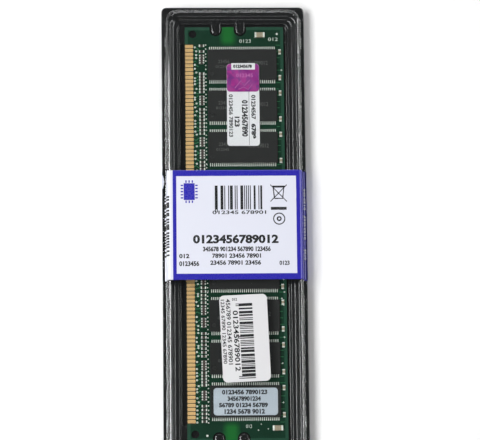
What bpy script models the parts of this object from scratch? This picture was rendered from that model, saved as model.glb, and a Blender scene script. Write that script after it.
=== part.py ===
"""A 184-contact memory module lying in its clear-topped retail pack.

The pack lies flat: X runs across it, from the contact edge to the plain edge, Y runs
along it and Z points up. The origin is on the ground under the pack's centre.
"""
import math

import bmesh
import bpy

MM = 0.001

# ---- circuit board -------------------------------------------------------------
BOARD_LENGTH = 133.35 * MM          # along Y
BOARD_HEIGHT = 31.75 * MM           # along X, contact edge to plain edge
BOARD_THICKNESS = 1.27 * MM
SIDE_NOTCH_WIDTH = 4.0 * MM
SIDE_NOTCH_DEPTH = 3.0 * MM
SIDE_NOTCH_RISES = (10.0 * MM, 17.78 * MM)     # from the contact edge
KEY_NOTCH_WIDTH = 1.8 * MM
KEY_NOTCH_DEPTH = 4.0 * MM
HOLE_DIAMETER = 2.5 * MM
HOLE_RISE = 2.5 * MM                # from the contact edge
HOLE_INSET = 2.3 * MM               # from the board's end

# ---- contacts ------------------------------------------------------------------
CONTACT_PITCH = 1.27 * MM
CONTACT_WIDTH = 1.02 * MM
CONTACT_LENGTH = 2.5 * MM
CONTACT_EDGE_INSET = 0.15 * MM      # bare board left at the contact edge
CONTACT_PLATE = 0.05 * MM           # how far the plating stands up
CONTACT_TIE = 0.25 * MM             # width of the plating strip that joins the row
CONTACT_TIE_PLATE = 0.04 * MM
LONG_ROW = 52
SHORT_ROW = 40
ROW_GAP = 6.35 * MM                 # centre to centre across the key notch

# ---- memory chips --------------------------------------------------------------
CHIP_LENGTH = 22.22 * MM            # along X
CHIP_WIDTH = 10.16 * MM             # along Y
CHIP_BODY = 1.0 * MM
CHIP_STANDOFF = 0.1 * MM
CHIP_RISE = 18.375 * MM             # chip centre above the contact edge
LEAD_SPAN = 11.76 * MM              # over the leads' toes
LEAD_PITCH = 0.65 * MM
LEADS_PER_SIDE = 33
LEAD_SHEET = 0.13 * MM
LEAD_FOOT = 0.5 * MM
CHIP_PLACES = 9                     # eight chips and the empty middle place
END_BAND = 6.65 * MM                # bare board between the end and the last lead toes

# ---- small parts ---------------------------------------------------------------
COLUMN_RISE = 5.4 * MM              # resistor column above the contact edge
ARRAY_SIZE = (1.6 * MM, 3.2 * MM, 0.5 * MM)
ARRAY_OFFSETS = (1.9 * MM, -2.1 * MM)          # from its chip's centre line
DECOUPLER_SIZE = (0.8 * MM, 1.6 * MM, 0.6 * MM)
DECOUPLER_OFFSET = 4.25 * MM        # from its chip's centre line
DECOUPLER_GAP = 0.63 * MM           # between the chip's upper end and the capacitor
END_CAPACITOR_SIZE = (3.2 * MM, 1.6 * MM, 1.1 * MM)
TOP_END_CAPACITOR_GAP = 3.9 * MM    # between the outer lead toes and its centre line
LOW_END_CAPACITOR_GAP = 2.55 * MM
TOP_END_CAPACITOR_SHIFT = 5.75 * MM    # from the chip's centre, towards the plain edge
LOW_END_CAPACITOR_SHIFT = 10.05 * MM
SPD_SIZE = (4.4 * MM, 3.0 * MM, 0.9 * MM)
SPD_RISE = 12.0 * MM                # above the contact edge
SMALL_EDGE = 0.08 * MM              # rounding on the small parts

# ---- pack ----------------------------------------------------------------------
MODULE_SHIFT = 0.45 * MM            # module's centre from the pack's centre, towards +X
CAVITY_SIDE_CLEAR = 1.375 * MM      # cavity mouth to the board's plain edge
CAVITY_END_CLEAR = 1.0 * MM         # cavity mouth to the board's end
SHELF_WIDTH = 1.35 * MM
STEP_RUN = 1.15 * MM
STEP_DROP = 1.0 * MM
RIM_WIDTH = 2.7 * MM
RIM_CORNER = 1.6 * MM
CAVITY_CORNER = 1.8 * MM
WALL_DRAFT = 0.3 * MM
LEDGE_SIDE = 0.45 * MM              # ledge left along the cavity's sides
LEDGE_END = 5.3 * MM                # ledge that carries the board's ends
LEDGE_CORNER = 1.2 * MM
FLOOR_CLEAR = 0.9 * MM              # tray floor to the back chips
TRAY_SHEET = 0.45 * MM
LUG_CLEAR = 0.35 * MM               # lug to the notch it reaches into
LUG_PROUD = 0.6 * MM                # lug above the board's face
LUG_ROOT = 0.1 * MM                 # how far a lug runs into the cavity wall
LID_INSET = 0.25 * MM               # lid flange inside the tray's rim
LID_FLANGE = 0.9 * MM
LID_DRAFT = 0.45 * MM
LID_RISE = 3.62 * MM                # lid top above its flange
LID_EDGE = 0.45 * MM                # rounding where the lid's wall meets its top
LID_CORNER = 3.8 * MM
LID_SHEET = 0.35 * MM

# ---- labels --------------------------------------------------------------------
LABEL_SHEET = 0.12 * MM
SEAL_LENGTH = 35.0 * MM
SEAL_CENTRE_Y = 1.4 * MM
SEAL_LEFT_STOP = 0.5 * MM           # label stops this far short of the lid flange's edge
STICKER_SHEET = 0.08 * MM
STICKER_CORNER = 1.0 * MM
WARRANTY_SIZE = (10.4 * MM, 26.8 * MM)
WARRANTY_SHIFT = (0.2 * MM, 0.26 * MM)         # from the second chip's centre
PATCH_LENGTH = 9.1 * MM
PATCH_INSET = 0.05 * MM
PART_STICKER_SIZE = (20.2 * MM, 8.6 * MM)
PART_STICKER_SHIFT = -0.1 * MM      # from the last chip's centre, along Y
PRICE_SIZE = (15.0 * MM, 27.4 * MM)
PRICE_CENTRE = (2.8 * MM, -34.66 * MM)
PRICE_CORNER = 1.5 * MM
PRICE_TURN = math.radians(2.3)

SEAT_GAP = 0.03 * MM                # air kept between pieces that rest on each other
ARC_STEPS = 6

# ---- worked-out places ---------------------------------------------------------
CHIP_HEIGHT = CHIP_STANDOFF + CHIP_BODY
CHIP_PITCH = (BOARD_LENGTH - 2 * END_BAND - LEAD_SPAN) / (CHIP_PLACES - 1)
EDGE_X = -BOARD_HEIGHT / 2          # contact edge, in the board's own frame
CHIP_X = EDGE_X + CHIP_RISE
COLUMN_X = EDGE_X + COLUMN_RISE
FLOOR_UNDER_Z = LABEL_SHEET + SEAT_GAP
FLOOR_Z = FLOOR_UNDER_Z + TRAY_SHEET
BOARD_UNDER_Z = FLOOR_Z + FLOOR_CLEAR + CHIP_HEIGHT + SEAT_GAP
BOARD_Z = BOARD_UNDER_Z + BOARD_THICKNESS
LEDGE_Z = BOARD_UNDER_Z - SEAT_GAP
RIM_Z = BOARD_Z + STEP_DROP
CAVITY_X = BOARD_HEIGHT / 2 + MODULE_SHIFT + CAVITY_SIDE_CLEAR
CAVITY_Y = BOARD_LENGTH / 2 + CAVITY_END_CLEAR
RIM_INSET = SHELF_WIDTH + STEP_RUN
RIM_X = CAVITY_X + RIM_INSET + RIM_WIDTH
RIM_Y = CAVITY_Y + RIM_INSET + RIM_WIDTH
LID_FOOT_Z = SEAT_GAP + LID_SHEET   # upper face of the lid's flange, above the rim
LID_TOP_Z = LID_FOOT_Z + LID_RISE   # both in the lid's frame, on the tray's rim
LID_X = RIM_X - LID_INSET
LID_Y = RIM_Y - LID_INSET


# ---- helpers -------------------------------------------------------------------
def clear_scene():
    """Start from an empty file."""
    for item in list(bpy.data.objects):
        bpy.data.objects.remove(item, do_unlink=True)


def collection(name):
    """A collection linked into the scene."""
    group = bpy.data.collections.new(name)
    bpy.context.scene.collection.children.link(group)
    return group


def finish(name, colour, roughness, metallic=0.0, alpha=1.0):
    """A plain Principled material."""
    material = bpy.data.materials.new(name)
    material.use_nodes = True
    shader = material.node_tree.nodes["Principled BSDF"]
    shader.inputs["Base Color"].default_value = (*colour, 1.0)
    shader.inputs["Roughness"].default_value = roughness
    shader.inputs["Metallic"].default_value = metallic
    shader.inputs["Alpha"].default_value = alpha
    return material


def arc(centre_x, centre_y, radius, start, end, steps=ARC_STEPS):
    """Points along an arc, both ends included; angles in degrees."""
    points = []
    for step in range(steps + 1):
        angle = math.radians(start + (end - start) * step / steps)
        points.append((centre_x + radius * math.cos(angle), centre_y + radius * math.sin(angle)))
    return points


def rounded_rectangle(half_x, half_y, radius, steps=ARC_STEPS):
    """A rounded rectangle about the origin, counter-clockwise seen from above."""
    inner_x, inner_y = half_x - radius, half_y - radius
    return (arc(inner_x, inner_y, radius, 0, 90, steps)
            + arc(-inner_x, inner_y, radius, 90, 180, steps)
            + arc(-inner_x, -inner_y, radius, 180, 270, steps)
            + arc(inner_x, -inner_y, radius, 270, 360, steps))


def add_object(name, mesh, group, material, parent=None, place=(0, 0, 0), turn=(0, 0, 0)):
    """Put a mesh in the scene under its own name."""
    item = bpy.data.objects.new(name, mesh)
    group.objects.link(item)
    item.location = place
    item.rotation_euler = turn
    item.parent = parent
    if material and not mesh.materials:
        mesh.materials.append(material)
    return item


def plate_mesh(name, outlines, thickness):
    """A flat sheet cut to closed outlines (the later ones are holes), centred on Z = 0.

    The outline is filled in millimetres, because the fill drops details under 0.03 units.
    """
    curve = bpy.data.curves.new(name, "CURVE")
    curve.dimensions = "2D"
    curve.fill_mode = "BOTH"
    curve.extrude = thickness / 2 / MM
    for outline in outlines:
        spline = curve.splines.new("POLY")
        spline.points.add(len(outline) - 1)
        for point, (x, y) in zip(spline.points, outline):
            point.co = (x / MM, y / MM, 0, 1)
        spline.use_cyclic_u = True
    carrier = bpy.data.objects.new(name, curve)
    bpy.context.scene.collection.objects.link(carrier)
    mesh = evaluated_mesh(name, carrier)
    bpy.data.objects.remove(carrier)
    bpy.data.curves.remove(curve)
    shell = bmesh.new()
    shell.from_mesh(mesh)
    bmesh.ops.scale(shell, vec=(MM, MM, MM), verts=shell.verts)
    bmesh.ops.remove_doubles(shell, verts=shell.verts, dist=1e-7)
    bmesh.ops.recalc_face_normals(shell, faces=shell.faces)
    shell.to_mesh(mesh)
    shell.free()
    return mesh


def loft_mesh(name, rings, close_first=False, close_last=True):
    """Skin over rings of equal count, each a list of (x, y) with its height."""
    shell = bmesh.new()
    rows = [[shell.verts.new((x, y, z)) for x, y in outline] for outline, z in rings]
    for lower, upper in zip(rows, rows[1:]):
        count = len(lower)
        for index in range(count):
            following = (index + 1) % count
            shell.faces.new((lower[index], lower[following], upper[following], upper[index]))
    if close_first:
        shell.faces.new(list(reversed(rows[0])))
    if close_last:
        shell.faces.new(rows[-1])
    mesh = bpy.data.meshes.new(name)
    shell.to_mesh(mesh)
    shell.free()
    return mesh


def ribbon_mesh(name, path, start_y, end_y):
    """An open sheet that follows an X-Z path and runs straight along Y."""
    shell = bmesh.new()
    near = [shell.verts.new((x, start_y, z)) for x, z in path]
    far = [shell.verts.new((x, end_y, z)) for x, z in path]
    for index in range(len(path) - 1):
        shell.faces.new((near[index], near[index + 1], far[index + 1], far[index]))
    mesh = bpy.data.meshes.new(name)
    shell.to_mesh(mesh)
    shell.free()
    return mesh


def box_mesh(name, size):
    """A plain box about the origin."""
    shell = bmesh.new()
    bmesh.ops.create_cube(shell, size=1.0)
    bmesh.ops.scale(shell, vec=size, verts=shell.verts)
    mesh = bpy.data.meshes.new(name)
    shell.to_mesh(mesh)
    shell.free()
    return mesh


def block_mesh(name, size, edge):
    """A box standing on Z = 0 with softened edges."""
    shell = bmesh.new()
    bmesh.ops.create_cube(shell, size=1.0)
    bmesh.ops.scale(shell, vec=size, verts=shell.verts)
    bmesh.ops.translate(shell, vec=(0, 0, size[2] / 2), verts=shell.verts)
    bmesh.ops.bevel(shell, geom=shell.edges, offset=edge, segments=1, affect="EDGES")
    mesh = bpy.data.meshes.new(name)
    shell.to_mesh(mesh)
    shell.free()
    return mesh


def thicken(item, thickness, offset):
    """Give an open sheet its thickness."""
    solid = item.modifiers.new("Sheet", "SOLIDIFY")
    solid.thickness = thickness
    solid.offset = offset
    solid.use_even_offset = True
    return solid


def evaluated_mesh(name, item):
    """The mesh of an object with its modifiers carried out."""
    graph = bpy.context.evaluated_depsgraph_get()
    mesh = bpy.data.meshes.new_from_object(item.evaluated_get(graph))
    mesh.name = name
    return mesh


def shade(mesh):
    """Smooth shading with the real corners left sharp."""
    mesh.shade_smooth()
    mesh.set_sharp_from_angle(angle=math.radians(30))


def cutter(name, mesh, group, parent=None, place=(0, 0, 0), turn=(0, 0, 0)):
    """A hidden solid that only shapes another one."""
    item = add_object(name, mesh, group, None, parent, place, turn)
    item.hide_render = True
    item.display_type = "WIRE"
    return item


def unite(item, other):
    """Join another solid into this one."""
    joint = item.modifiers.new("Join " + other.name, "BOOLEAN")
    joint.operation = "UNION"
    joint.object = other


# ---- pack ----------------------------------------------------------------------
def make_tray(group, guides, material):
    """Black moulded tray: rim, step, shelf, cavity with end ledges, and four lugs."""
    step_x, step_y = CAVITY_X + SHELF_WIDTH, CAVITY_Y + SHELF_WIDTH
    wall_x, wall_y = CAVITY_X - WALL_DRAFT, CAVITY_Y - WALL_DRAFT
    ledge_x, ledge_y = wall_x - LEDGE_SIDE, wall_y - LEDGE_SIDE - LEDGE_END
    rings = [
        (rounded_rectangle(RIM_X, RIM_Y, RIM_CORNER), RIM_Z),
        (rounded_rectangle(RIM_X - RIM_WIDTH, RIM_Y - RIM_WIDTH, RIM_CORNER + RIM_WIDTH / 2), RIM_Z),
        (rounded_rectangle(step_x, step_y, CAVITY_CORNER + SHELF_WIDTH / 2), BOARD_Z),
        (rounded_rectangle(CAVITY_X, CAVITY_Y, CAVITY_CORNER), BOARD_Z),
        (rounded_rectangle(wall_x, wall_y, LEDGE_CORNER), LEDGE_Z),
        (rounded_rectangle(ledge_x, ledge_y, LEDGE_CORNER), LEDGE_Z),
        (rounded_rectangle(ledge_x - WALL_DRAFT, ledge_y - WALL_DRAFT, LEDGE_CORNER), FLOOR_Z),
    ]
    mesh = loft_mesh("tray", rings)
    shade(mesh)
    tray = add_object("tray", mesh, group, material)
    thicken(tray, TRAY_SHEET, -1.0)

    lug_width = SIDE_NOTCH_WIDTH - 2 * LUG_CLEAR
    tip = BOARD_LENGTH / 2 - SIDE_NOTCH_DEPTH + LUG_CLEAR
    root = CAVITY_Y + LUG_ROOT
    half = lug_width / 2
    outline = [(-half, root), *arc(0, tip + half, half, 180, 360), (half, root)]
    sunk = TRAY_SHEET / 2
    lug_height = LUG_PROUD + BOARD_THICKNESS + SEAT_GAP + sunk
    lug = plate_mesh("lug", [outline], lug_height)
    middle_z = BOARD_Z + LUG_PROUD - lug_height / 2
    for rise in SIDE_NOTCH_RISES:
        place = (MODULE_SHIFT + EDGE_X + rise, 0, middle_z)
        for end, turn in (("far", 0), ("near", math.pi)):
            guide = cutter(f"lug_{end}_{round(rise / MM)}", lug, guides, None, place, (turn, 0, 0))
            unite(tray, guide)
    return tray


def lid_profile():
    """Half-width insets and heights of the lid's outer face, from the flange's edge up."""
    wall = LID_FLANGE + LID_DRAFT
    steps = 4
    profile = [(0.0, LID_FOOT_Z), (LID_FLANGE, LID_FOOT_Z)]
    for step in range(steps + 1):
        angle = math.radians(90 * step / steps)
        inset = wall + LID_EDGE * (1 - math.cos(angle))
        profile.append((inset, LID_TOP_Z - LID_EDGE * (1 - math.sin(angle))))
    return profile


def make_lid(group, parent, material):
    """Clear moulded lid: a flange on the tray's rim, drafted walls and a flat top."""
    rings = []
    for inset, height in lid_profile():
        corner = RIM_CORNER if inset == 0.0 else LID_CORNER - (inset - LID_FLANGE) / 2
        rings.append((rounded_rectangle(LID_X - inset, LID_Y - inset, corner), height))
    mesh = loft_mesh("lid", rings)
    shade(mesh)
    lid = add_object("lid", mesh, group, material, parent)
    thicken(lid, LID_SHEET, -1.0)
    return lid


def offset_path(path, distance):
    """A path moved sideways by a distance, to its left as it runs, mitred at its corners."""
    moved = []
    for index, (x, z) in enumerate(path):
        before = path[max(index - 1, 0)]
        after = path[min(index + 1, len(path) - 1)]
        first = (x - before[0], z - before[1]) if index else (after[0] - x, after[1] - z)
        second = (after[0] - x, after[1] - z) if index < len(path) - 1 else first
        normals = []
        for run_x, run_z in (first, second):
            length = math.hypot(run_x, run_z)
            normals.append((-run_z / length, run_x / length))
        mitre = (normals[0][0] + normals[1][0], normals[0][1] + normals[1][1])
        scale = 2 * distance / (mitre[0] ** 2 + mitre[1] ** 2)
        moved.append((x + mitre[0] * scale, z + mitre[1] * scale))
    return moved


def make_seal_front(group, parent, material):
    """Front half of the seal label: over the lid's top and down both of its walls."""
    right = [(LID_X - inset, height) for inset, height in lid_profile()]
    left = [(-x, height) for x, height in right]
    left[0] = (left[0][0] + SEAL_LEFT_STOP, left[0][1])
    path = offset_path(left + list(reversed(right)), SEAT_GAP)
    start = SEAL_CENTRE_Y - SEAL_LENGTH / 2
    mesh = ribbon_mesh("seal_label_front", path, start, start + SEAL_LENGTH)
    label = add_object("seal_label_front", mesh, group, material, parent)
    thicken(label, LABEL_SHEET, 1.0)
    return label


def make_seal_back(group, material):
    """Back half of the seal label: round the rim's edges and across under the tray."""
    under = RIM_Z - TRAY_SHEET
    foot = CAVITY_X - 2 * WALL_DRAFT - LEDGE_SIDE + TRAY_SHEET
    edge = RIM_X
    right = [(edge, RIM_Z), (edge, under), (foot, FLOOR_UNDER_Z)]
    left = [(-x, height) for x, height in right]
    path = offset_path(right + list(reversed(left)), SEAT_GAP)
    start = SEAL_CENTRE_Y - SEAL_LENGTH / 2
    mesh = ribbon_mesh("seal_label_back", path, start, start + SEAL_LENGTH)
    label = add_object("seal_label_back", mesh, group, material)
    thicken(label, LABEL_SHEET, 1.0)
    return label


def sticker_mesh(name, size, corner, thickness):
    """A flat sticker with rounded corners, lying on Z = 0."""
    mesh = plate_mesh(name, [rounded_rectangle(size[0] / 2, size[1] / 2, corner)], thickness)
    for vertex in mesh.vertices:
        vertex.co.z += thickness / 2
    return mesh


def make_price_sticker(group, parent, material):
    """White price sticker on the lid's top, stuck on a little askew."""
    mesh = sticker_mesh("price_sticker", PRICE_SIZE, PRICE_CORNER, LABEL_SHEET)
    place = (PRICE_CENTRE[0], PRICE_CENTRE[1], LID_TOP_Z + SEAT_GAP)
    return add_object("price_sticker", mesh, group, material, parent, place, (0, 0, PRICE_TURN))


# ---- board ---------------------------------------------------------------------
def contact_rows():
    """(name, count, Y of the first contact, nearest the +Y end) for the two rows."""
    run = (LONG_ROW + SHORT_ROW - 2) * CONTACT_PITCH + ROW_GAP
    first_long = run / 2
    first_short = first_long - (LONG_ROW - 1) * CONTACT_PITCH - ROW_GAP
    return (("long", LONG_ROW, first_long), ("short", SHORT_ROW, first_short))


def board_outline():
    """Board edge with its key notch and four side notches, counter-clockwise."""
    half = BOARD_LENGTH / 2
    _, long_count, long_first = contact_rows()[0]
    key_y = long_first - (long_count - 1) * CONTACT_PITCH - ROW_GAP / 2
    key_half = KEY_NOTCH_WIDTH / 2
    key_floor = EDGE_X + KEY_NOTCH_DEPTH - key_half
    notch_half = SIDE_NOTCH_WIDTH / 2
    floor = half - SIDE_NOTCH_DEPTH + notch_half
    plain = EDGE_X + BOARD_HEIGHT
    points = [(EDGE_X, half), (EDGE_X, key_y + key_half)]
    points += arc(key_floor, key_y, key_half, 90, -90)
    points += [(EDGE_X, key_y - key_half), (EDGE_X, -half)]
    for rise in SIDE_NOTCH_RISES:
        x = EDGE_X + rise
        points += [(x - notch_half, -half), *arc(x, -floor, notch_half, 180, 0), (x + notch_half, -half)]
    points += [(plain, -half), (plain, half)]
    for rise in reversed(SIDE_NOTCH_RISES):
        x = EDGE_X + rise
        points += [(x + notch_half, half), *arc(x, floor, notch_half, 360, 180), (x - notch_half, half)]
    return points


def make_board(group, parent, material):
    """Circuit board, cut to its standard outline."""
    hole_x = EDGE_X + HOLE_RISE
    hole_y = BOARD_LENGTH / 2 - HOLE_INSET
    holes = [arc(hole_x, side * hole_y, HOLE_DIAMETER / 2, 0, 345, 23) for side in (1, -1)]
    mesh = plate_mesh("pcb", [board_outline(), *holes], BOARD_THICKNESS)
    shade(mesh)
    return add_object("pcb", mesh, group, material, parent, (0, 0, -BOARD_THICKNESS / 2))


def contact_row_mesh(name, count, guides):
    """A row of plated contacts joined by a strip along the edge, about that strip's middle."""
    start = (1 - count) * CONTACT_PITCH / 2
    tie_size = (CONTACT_TIE, (count - 1) * CONTACT_PITCH + CONTACT_WIDTH, CONTACT_TIE_PLATE)
    contact_size = (CONTACT_LENGTH, CONTACT_WIDTH, CONTACT_PLATE)
    tie = cutter(name + "_tie", box_mesh(name + "_tie", tie_size), guides)
    contacts = cutter(name + "_contact", box_mesh(name + "_contact", contact_size), guides, None,
                      ((CONTACT_LENGTH - CONTACT_TIE) / 2, start, 0))
    repeat = contacts.modifiers.new("Row", "ARRAY")
    repeat.count = count
    repeat.use_relative_offset = False
    repeat.use_constant_offset = True
    repeat.constant_offset_displace = (0, CONTACT_PITCH, 0)
    unite(tie, contacts)
    mesh = evaluated_mesh(name, tie)
    bpy.data.objects.remove(tie)
    bpy.data.objects.remove(contacts)
    return mesh


def make_contacts(group, guides, parent, material):
    """Rows of gold contacts on both faces of the board."""
    tie_x = EDGE_X + CONTACT_EDGE_INSET + CONTACT_TIE / 2
    front_z = SEAT_GAP + CONTACT_PLATE / 2
    for name, count, first_y in contact_rows():
        centre_y = first_y - (count - 1) * CONTACT_PITCH / 2
        mesh = contact_row_mesh(f"contacts_{name}", count, guides)
        for face, z in (("front", front_z), ("back", -BOARD_THICKNESS - front_z)):
            add_object(f"contacts_{face}_{name}", mesh, group, material, parent, (tie_x, centre_y, z))


# ---- chips ---------------------------------------------------------------------
def chip_mesh(guides):
    """Memory chip: a black body with a bent lead strip along each long side."""
    draft = 0.1 * MM
    waist = CHIP_STANDOFF + CHIP_BODY / 2
    corner = 0.12 * MM
    rings = [
        (rounded_rectangle(CHIP_LENGTH / 2 - draft, CHIP_WIDTH / 2 - draft, corner, 1), CHIP_STANDOFF),
        (rounded_rectangle(CHIP_LENGTH / 2, CHIP_WIDTH / 2, corner, 1), waist),
        (rounded_rectangle(CHIP_LENGTH / 2 - draft, CHIP_WIDTH / 2 - draft, corner, 1), CHIP_HEIGHT),
    ]
    body = add_object("chip_body", loft_mesh("chip_body", rings, close_first=True), guides, None)
    run = (LEADS_PER_SIDE - 1) * LEAD_PITCH + LEAD_PITCH / 2
    toe = LEAD_SPAN / 2
    sunk = 0.3 * MM
    foot = LEAD_SHEET / 2
    path = [(CHIP_WIDTH / 2 - sunk, waist), (CHIP_WIDTH / 2 + sunk / 2, waist),
            (toe - LEAD_FOOT, foot), (toe, foot)]
    outline = offset_path(path, LEAD_SHEET / 2) + list(reversed(offset_path(path, -LEAD_SHEET / 2)))
    strip = plate_mesh("lead_strip", [outline], run)
    quarter = math.pi / 2
    for name, turn in (("right", quarter), ("left", -quarter)):
        unite(body, cutter(f"lead_strip_{name}", strip, guides, None, (0, 0, 0), (quarter, 0, turn)))
    mesh = evaluated_mesh("memory_chip", body)
    shade(mesh)
    for guide in [body, *[item.object for item in body.modifiers]]:
        bpy.data.objects.remove(guide)
    return mesh


def chip_places():
    """Y of each chip's centre line, from the +Y end, with the middle place left empty."""
    middle = (CHIP_PLACES - 1) / 2
    rows = [(middle - index) * CHIP_PITCH for index in range(CHIP_PLACES)]
    return [y for index, y in enumerate(rows) if index != middle]


def make_chips(group, guides, parent, material):
    """Eight memory chips on each face of the board."""
    mesh = chip_mesh(guides)
    for number, y in enumerate(chip_places(), 1):
        front = (CHIP_X, y, SEAT_GAP)
        back = (CHIP_X, y, -BOARD_THICKNESS - SEAT_GAP)
        add_object(f"dram_front_{number}", mesh, group, material, parent, front)
        add_object(f"dram_back_{number}", mesh, group, material, parent, back, (0, math.pi, 0))


def make_small_parts(group, parent, materials):
    """Resistor arrays, small and large capacitors and the configuration memory."""
    places = chip_places()
    array = block_mesh("resistor_array", ARRAY_SIZE, SMALL_EDGE)
    upper, lower = ARRAY_OFFSETS
    layout = ((upper,), (upper,), (upper, lower), (upper, lower),
              (upper, lower), (upper, lower), (lower,), (upper,))
    number = 0
    for y, offsets in zip(places, layout):
        for offset in offsets:
            number += 1
            place = (COLUMN_X, y + offset, SEAT_GAP)
            add_object(f"resistor_array_{number}", array, group, materials["resistor"], parent, place)

    small = block_mesh("decoupling_capacitor", DECOUPLER_SIZE, SMALL_EDGE)
    small_x = CHIP_X + CHIP_LENGTH / 2 + DECOUPLER_GAP + DECOUPLER_SIZE[0] / 2
    number = 0
    for y in places:
        for offset in (DECOUPLER_OFFSET, -DECOUPLER_OFFSET):
            number += 1
            place = (small_x, y + offset, SEAT_GAP)
            add_object(f"decoupling_capacitor_{number}", small, group, materials["capacitor"], parent, place)

    large = block_mesh("end_capacitor", END_CAPACITOR_SIZE, SMALL_EDGE)
    for name, y, side, gap, shift in (
            ("top", places[0], 1, TOP_END_CAPACITOR_GAP, TOP_END_CAPACITOR_SHIFT),
            ("low", places[-1], -1, LOW_END_CAPACITOR_GAP, LOW_END_CAPACITOR_SHIFT)):
        beyond = LEAD_SPAN / 2 + gap
        place = (CHIP_X + shift, y + side * beyond, SEAT_GAP)
        add_object(f"end_capacitor_{name}", large, group, materials["capacitor"], parent, place)

    spd = block_mesh("spd_eeprom", SPD_SIZE, SMALL_EDGE)
    add_object("spd_eeprom", spd, group, materials["chip"], parent, (EDGE_X + SPD_RISE, 0, SEAT_GAP))


def make_module_stickers(group, parent, materials):
    """Warranty sticker with its foil patch, and the part sticker on the last chip."""
    on_chips = SEAT_GAP + CHIP_HEIGHT + SEAT_GAP
    places = chip_places()
    centre_x = CHIP_X + WARRANTY_SHIFT[0]
    centre_y = places[1] + WARRANTY_SHIFT[1]
    warranty = sticker_mesh("warranty_sticker", WARRANTY_SIZE, STICKER_CORNER, STICKER_SHEET)
    place = (centre_x, centre_y, on_chips)
    add_object("warranty_sticker", warranty, group, materials["paper"], parent, place)

    patch_size = (WARRANTY_SIZE[0] - 2 * PATCH_INSET, PATCH_LENGTH)
    patch = sticker_mesh("foil_patch", patch_size, STICKER_CORNER, STICKER_SHEET)
    patch_y = centre_y + WARRANTY_SIZE[1] / 2 - PATCH_INSET - PATCH_LENGTH / 2
    place = (centre_x, patch_y, on_chips + STICKER_SHEET + SEAT_GAP)
    add_object("foil_patch", patch, group, materials["foil"], parent, place)

    part = sticker_mesh("part_sticker", PART_STICKER_SIZE, STICKER_CORNER, STICKER_SHEET)
    place = (CHIP_X, places[-1] + PART_STICKER_SHIFT, on_chips)
    add_object("part_sticker", part, group, materials["silver_paper"], parent, place)


def make_empty(name, place, group, parent=None):
    """A frame for pieces that move together."""
    item = bpy.data.objects.new(name, None)
    group.objects.link(item)
    item.location = place
    item.parent = parent
    return item


def main():
    clear_scene()
    group = collection("memory_module_pack")
    guides = collection("guides")
    materials = {
        "tray": finish("black_tray_plastic", (0.012, 0.012, 0.013), 0.25),
        "lid": finish("clear_lid_plastic", (0.95, 0.96, 0.97), 0.05, alpha=0.2),
        "label": finish("seal_label_paper", (0.024, 0.013, 0.38), 0.4),
        "paper": finish("white_sticker_paper", (0.80, 0.80, 0.82), 0.5),
        "silver_paper": finish("silver_sticker_film", (0.53, 0.60, 0.68), 0.4),
        "foil": finish("purple_foil", (0.36, 0.02, 0.26), 0.3),
        "board": finish("green_solder_mask", (0.013, 0.05, 0.032), 0.3),
        "gold": finish("gold_plating", (0.70, 0.47, 0.18), 0.3, 1.0),
        "chip": finish("chip_epoxy", (0.028, 0.030, 0.029), 0.5),
        "resistor": finish("resistor_glaze", (0.03, 0.028, 0.026), 0.4),
        "capacitor": finish("capacitor_ceramic", (0.36, 0.29, 0.19), 0.5),
    }
    module_frame = make_empty("module_frame", (MODULE_SHIFT, 0, BOARD_Z), group)
    lid_frame = make_empty("lid_frame", (0, 0, RIM_Z), group)

    make_tray(group, guides, materials["tray"])
    make_seal_back(group, materials["label"])
    make_lid(group, lid_frame, materials["lid"])
    make_seal_front(group, lid_frame, materials["label"])
    make_price_sticker(group, lid_frame, materials["paper"])

    make_board(group, module_frame, materials["board"])
    make_contacts(group, guides, module_frame, materials["gold"])
    make_chips(group, guides, module_frame, materials["chip"])
    make_small_parts(group, module_frame, materials)
    make_module_stickers(group, module_frame, materials)


if __name__ == "__main__":
    main()
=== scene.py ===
"""Looks for a memory module sealed in its clear-topped retail pack.

The pack lies flat with its contacts towards -X. Sizes are in millimetres in this file's
shapes and in metres in Blender. Run as a script, it builds every piece and the stage.
"""
import math
import random

import bmesh
import bpy
from bpy.props import FloatProperty, FloatVectorProperty, IntProperty, PointerProperty
from bpy.types import Operator, Panel, PropertyGroup
from mathutils import Matrix, Vector


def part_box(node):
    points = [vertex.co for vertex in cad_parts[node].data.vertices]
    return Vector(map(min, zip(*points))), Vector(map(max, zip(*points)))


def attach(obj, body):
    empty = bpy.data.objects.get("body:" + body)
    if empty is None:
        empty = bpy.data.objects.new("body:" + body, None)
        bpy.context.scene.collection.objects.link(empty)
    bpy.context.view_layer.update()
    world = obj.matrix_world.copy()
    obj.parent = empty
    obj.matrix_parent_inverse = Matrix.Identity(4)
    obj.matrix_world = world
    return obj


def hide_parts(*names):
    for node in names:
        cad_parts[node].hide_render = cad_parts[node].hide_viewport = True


bl_info = {
    "name": "Memory Module Pack",
    "version": (1, 0, 0),
    "blender": (4, 5, 0),
    "location": "3D View > Sidebar > Memory Pack",
    "description": "Builds a memory module in its clear retail pack around a fixed frame",
    "category": "Object",
}

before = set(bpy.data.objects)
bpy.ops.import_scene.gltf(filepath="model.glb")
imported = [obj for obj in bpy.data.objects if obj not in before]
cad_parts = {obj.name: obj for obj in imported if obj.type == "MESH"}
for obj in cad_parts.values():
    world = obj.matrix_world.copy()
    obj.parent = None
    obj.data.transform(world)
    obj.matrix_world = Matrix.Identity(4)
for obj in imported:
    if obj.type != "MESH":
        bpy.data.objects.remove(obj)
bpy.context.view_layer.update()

MM = 0.001
CHIP_COUNT = 8
ROW_NAMES = ("long", "short")

# Angles in degrees below which a mesh is shaded smooth.
FORMED_SMOOTH = 40
LUG_SMOOTH = 50
CHIP_SMOOTH = 35
PART_SMOOTH = 30

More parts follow.
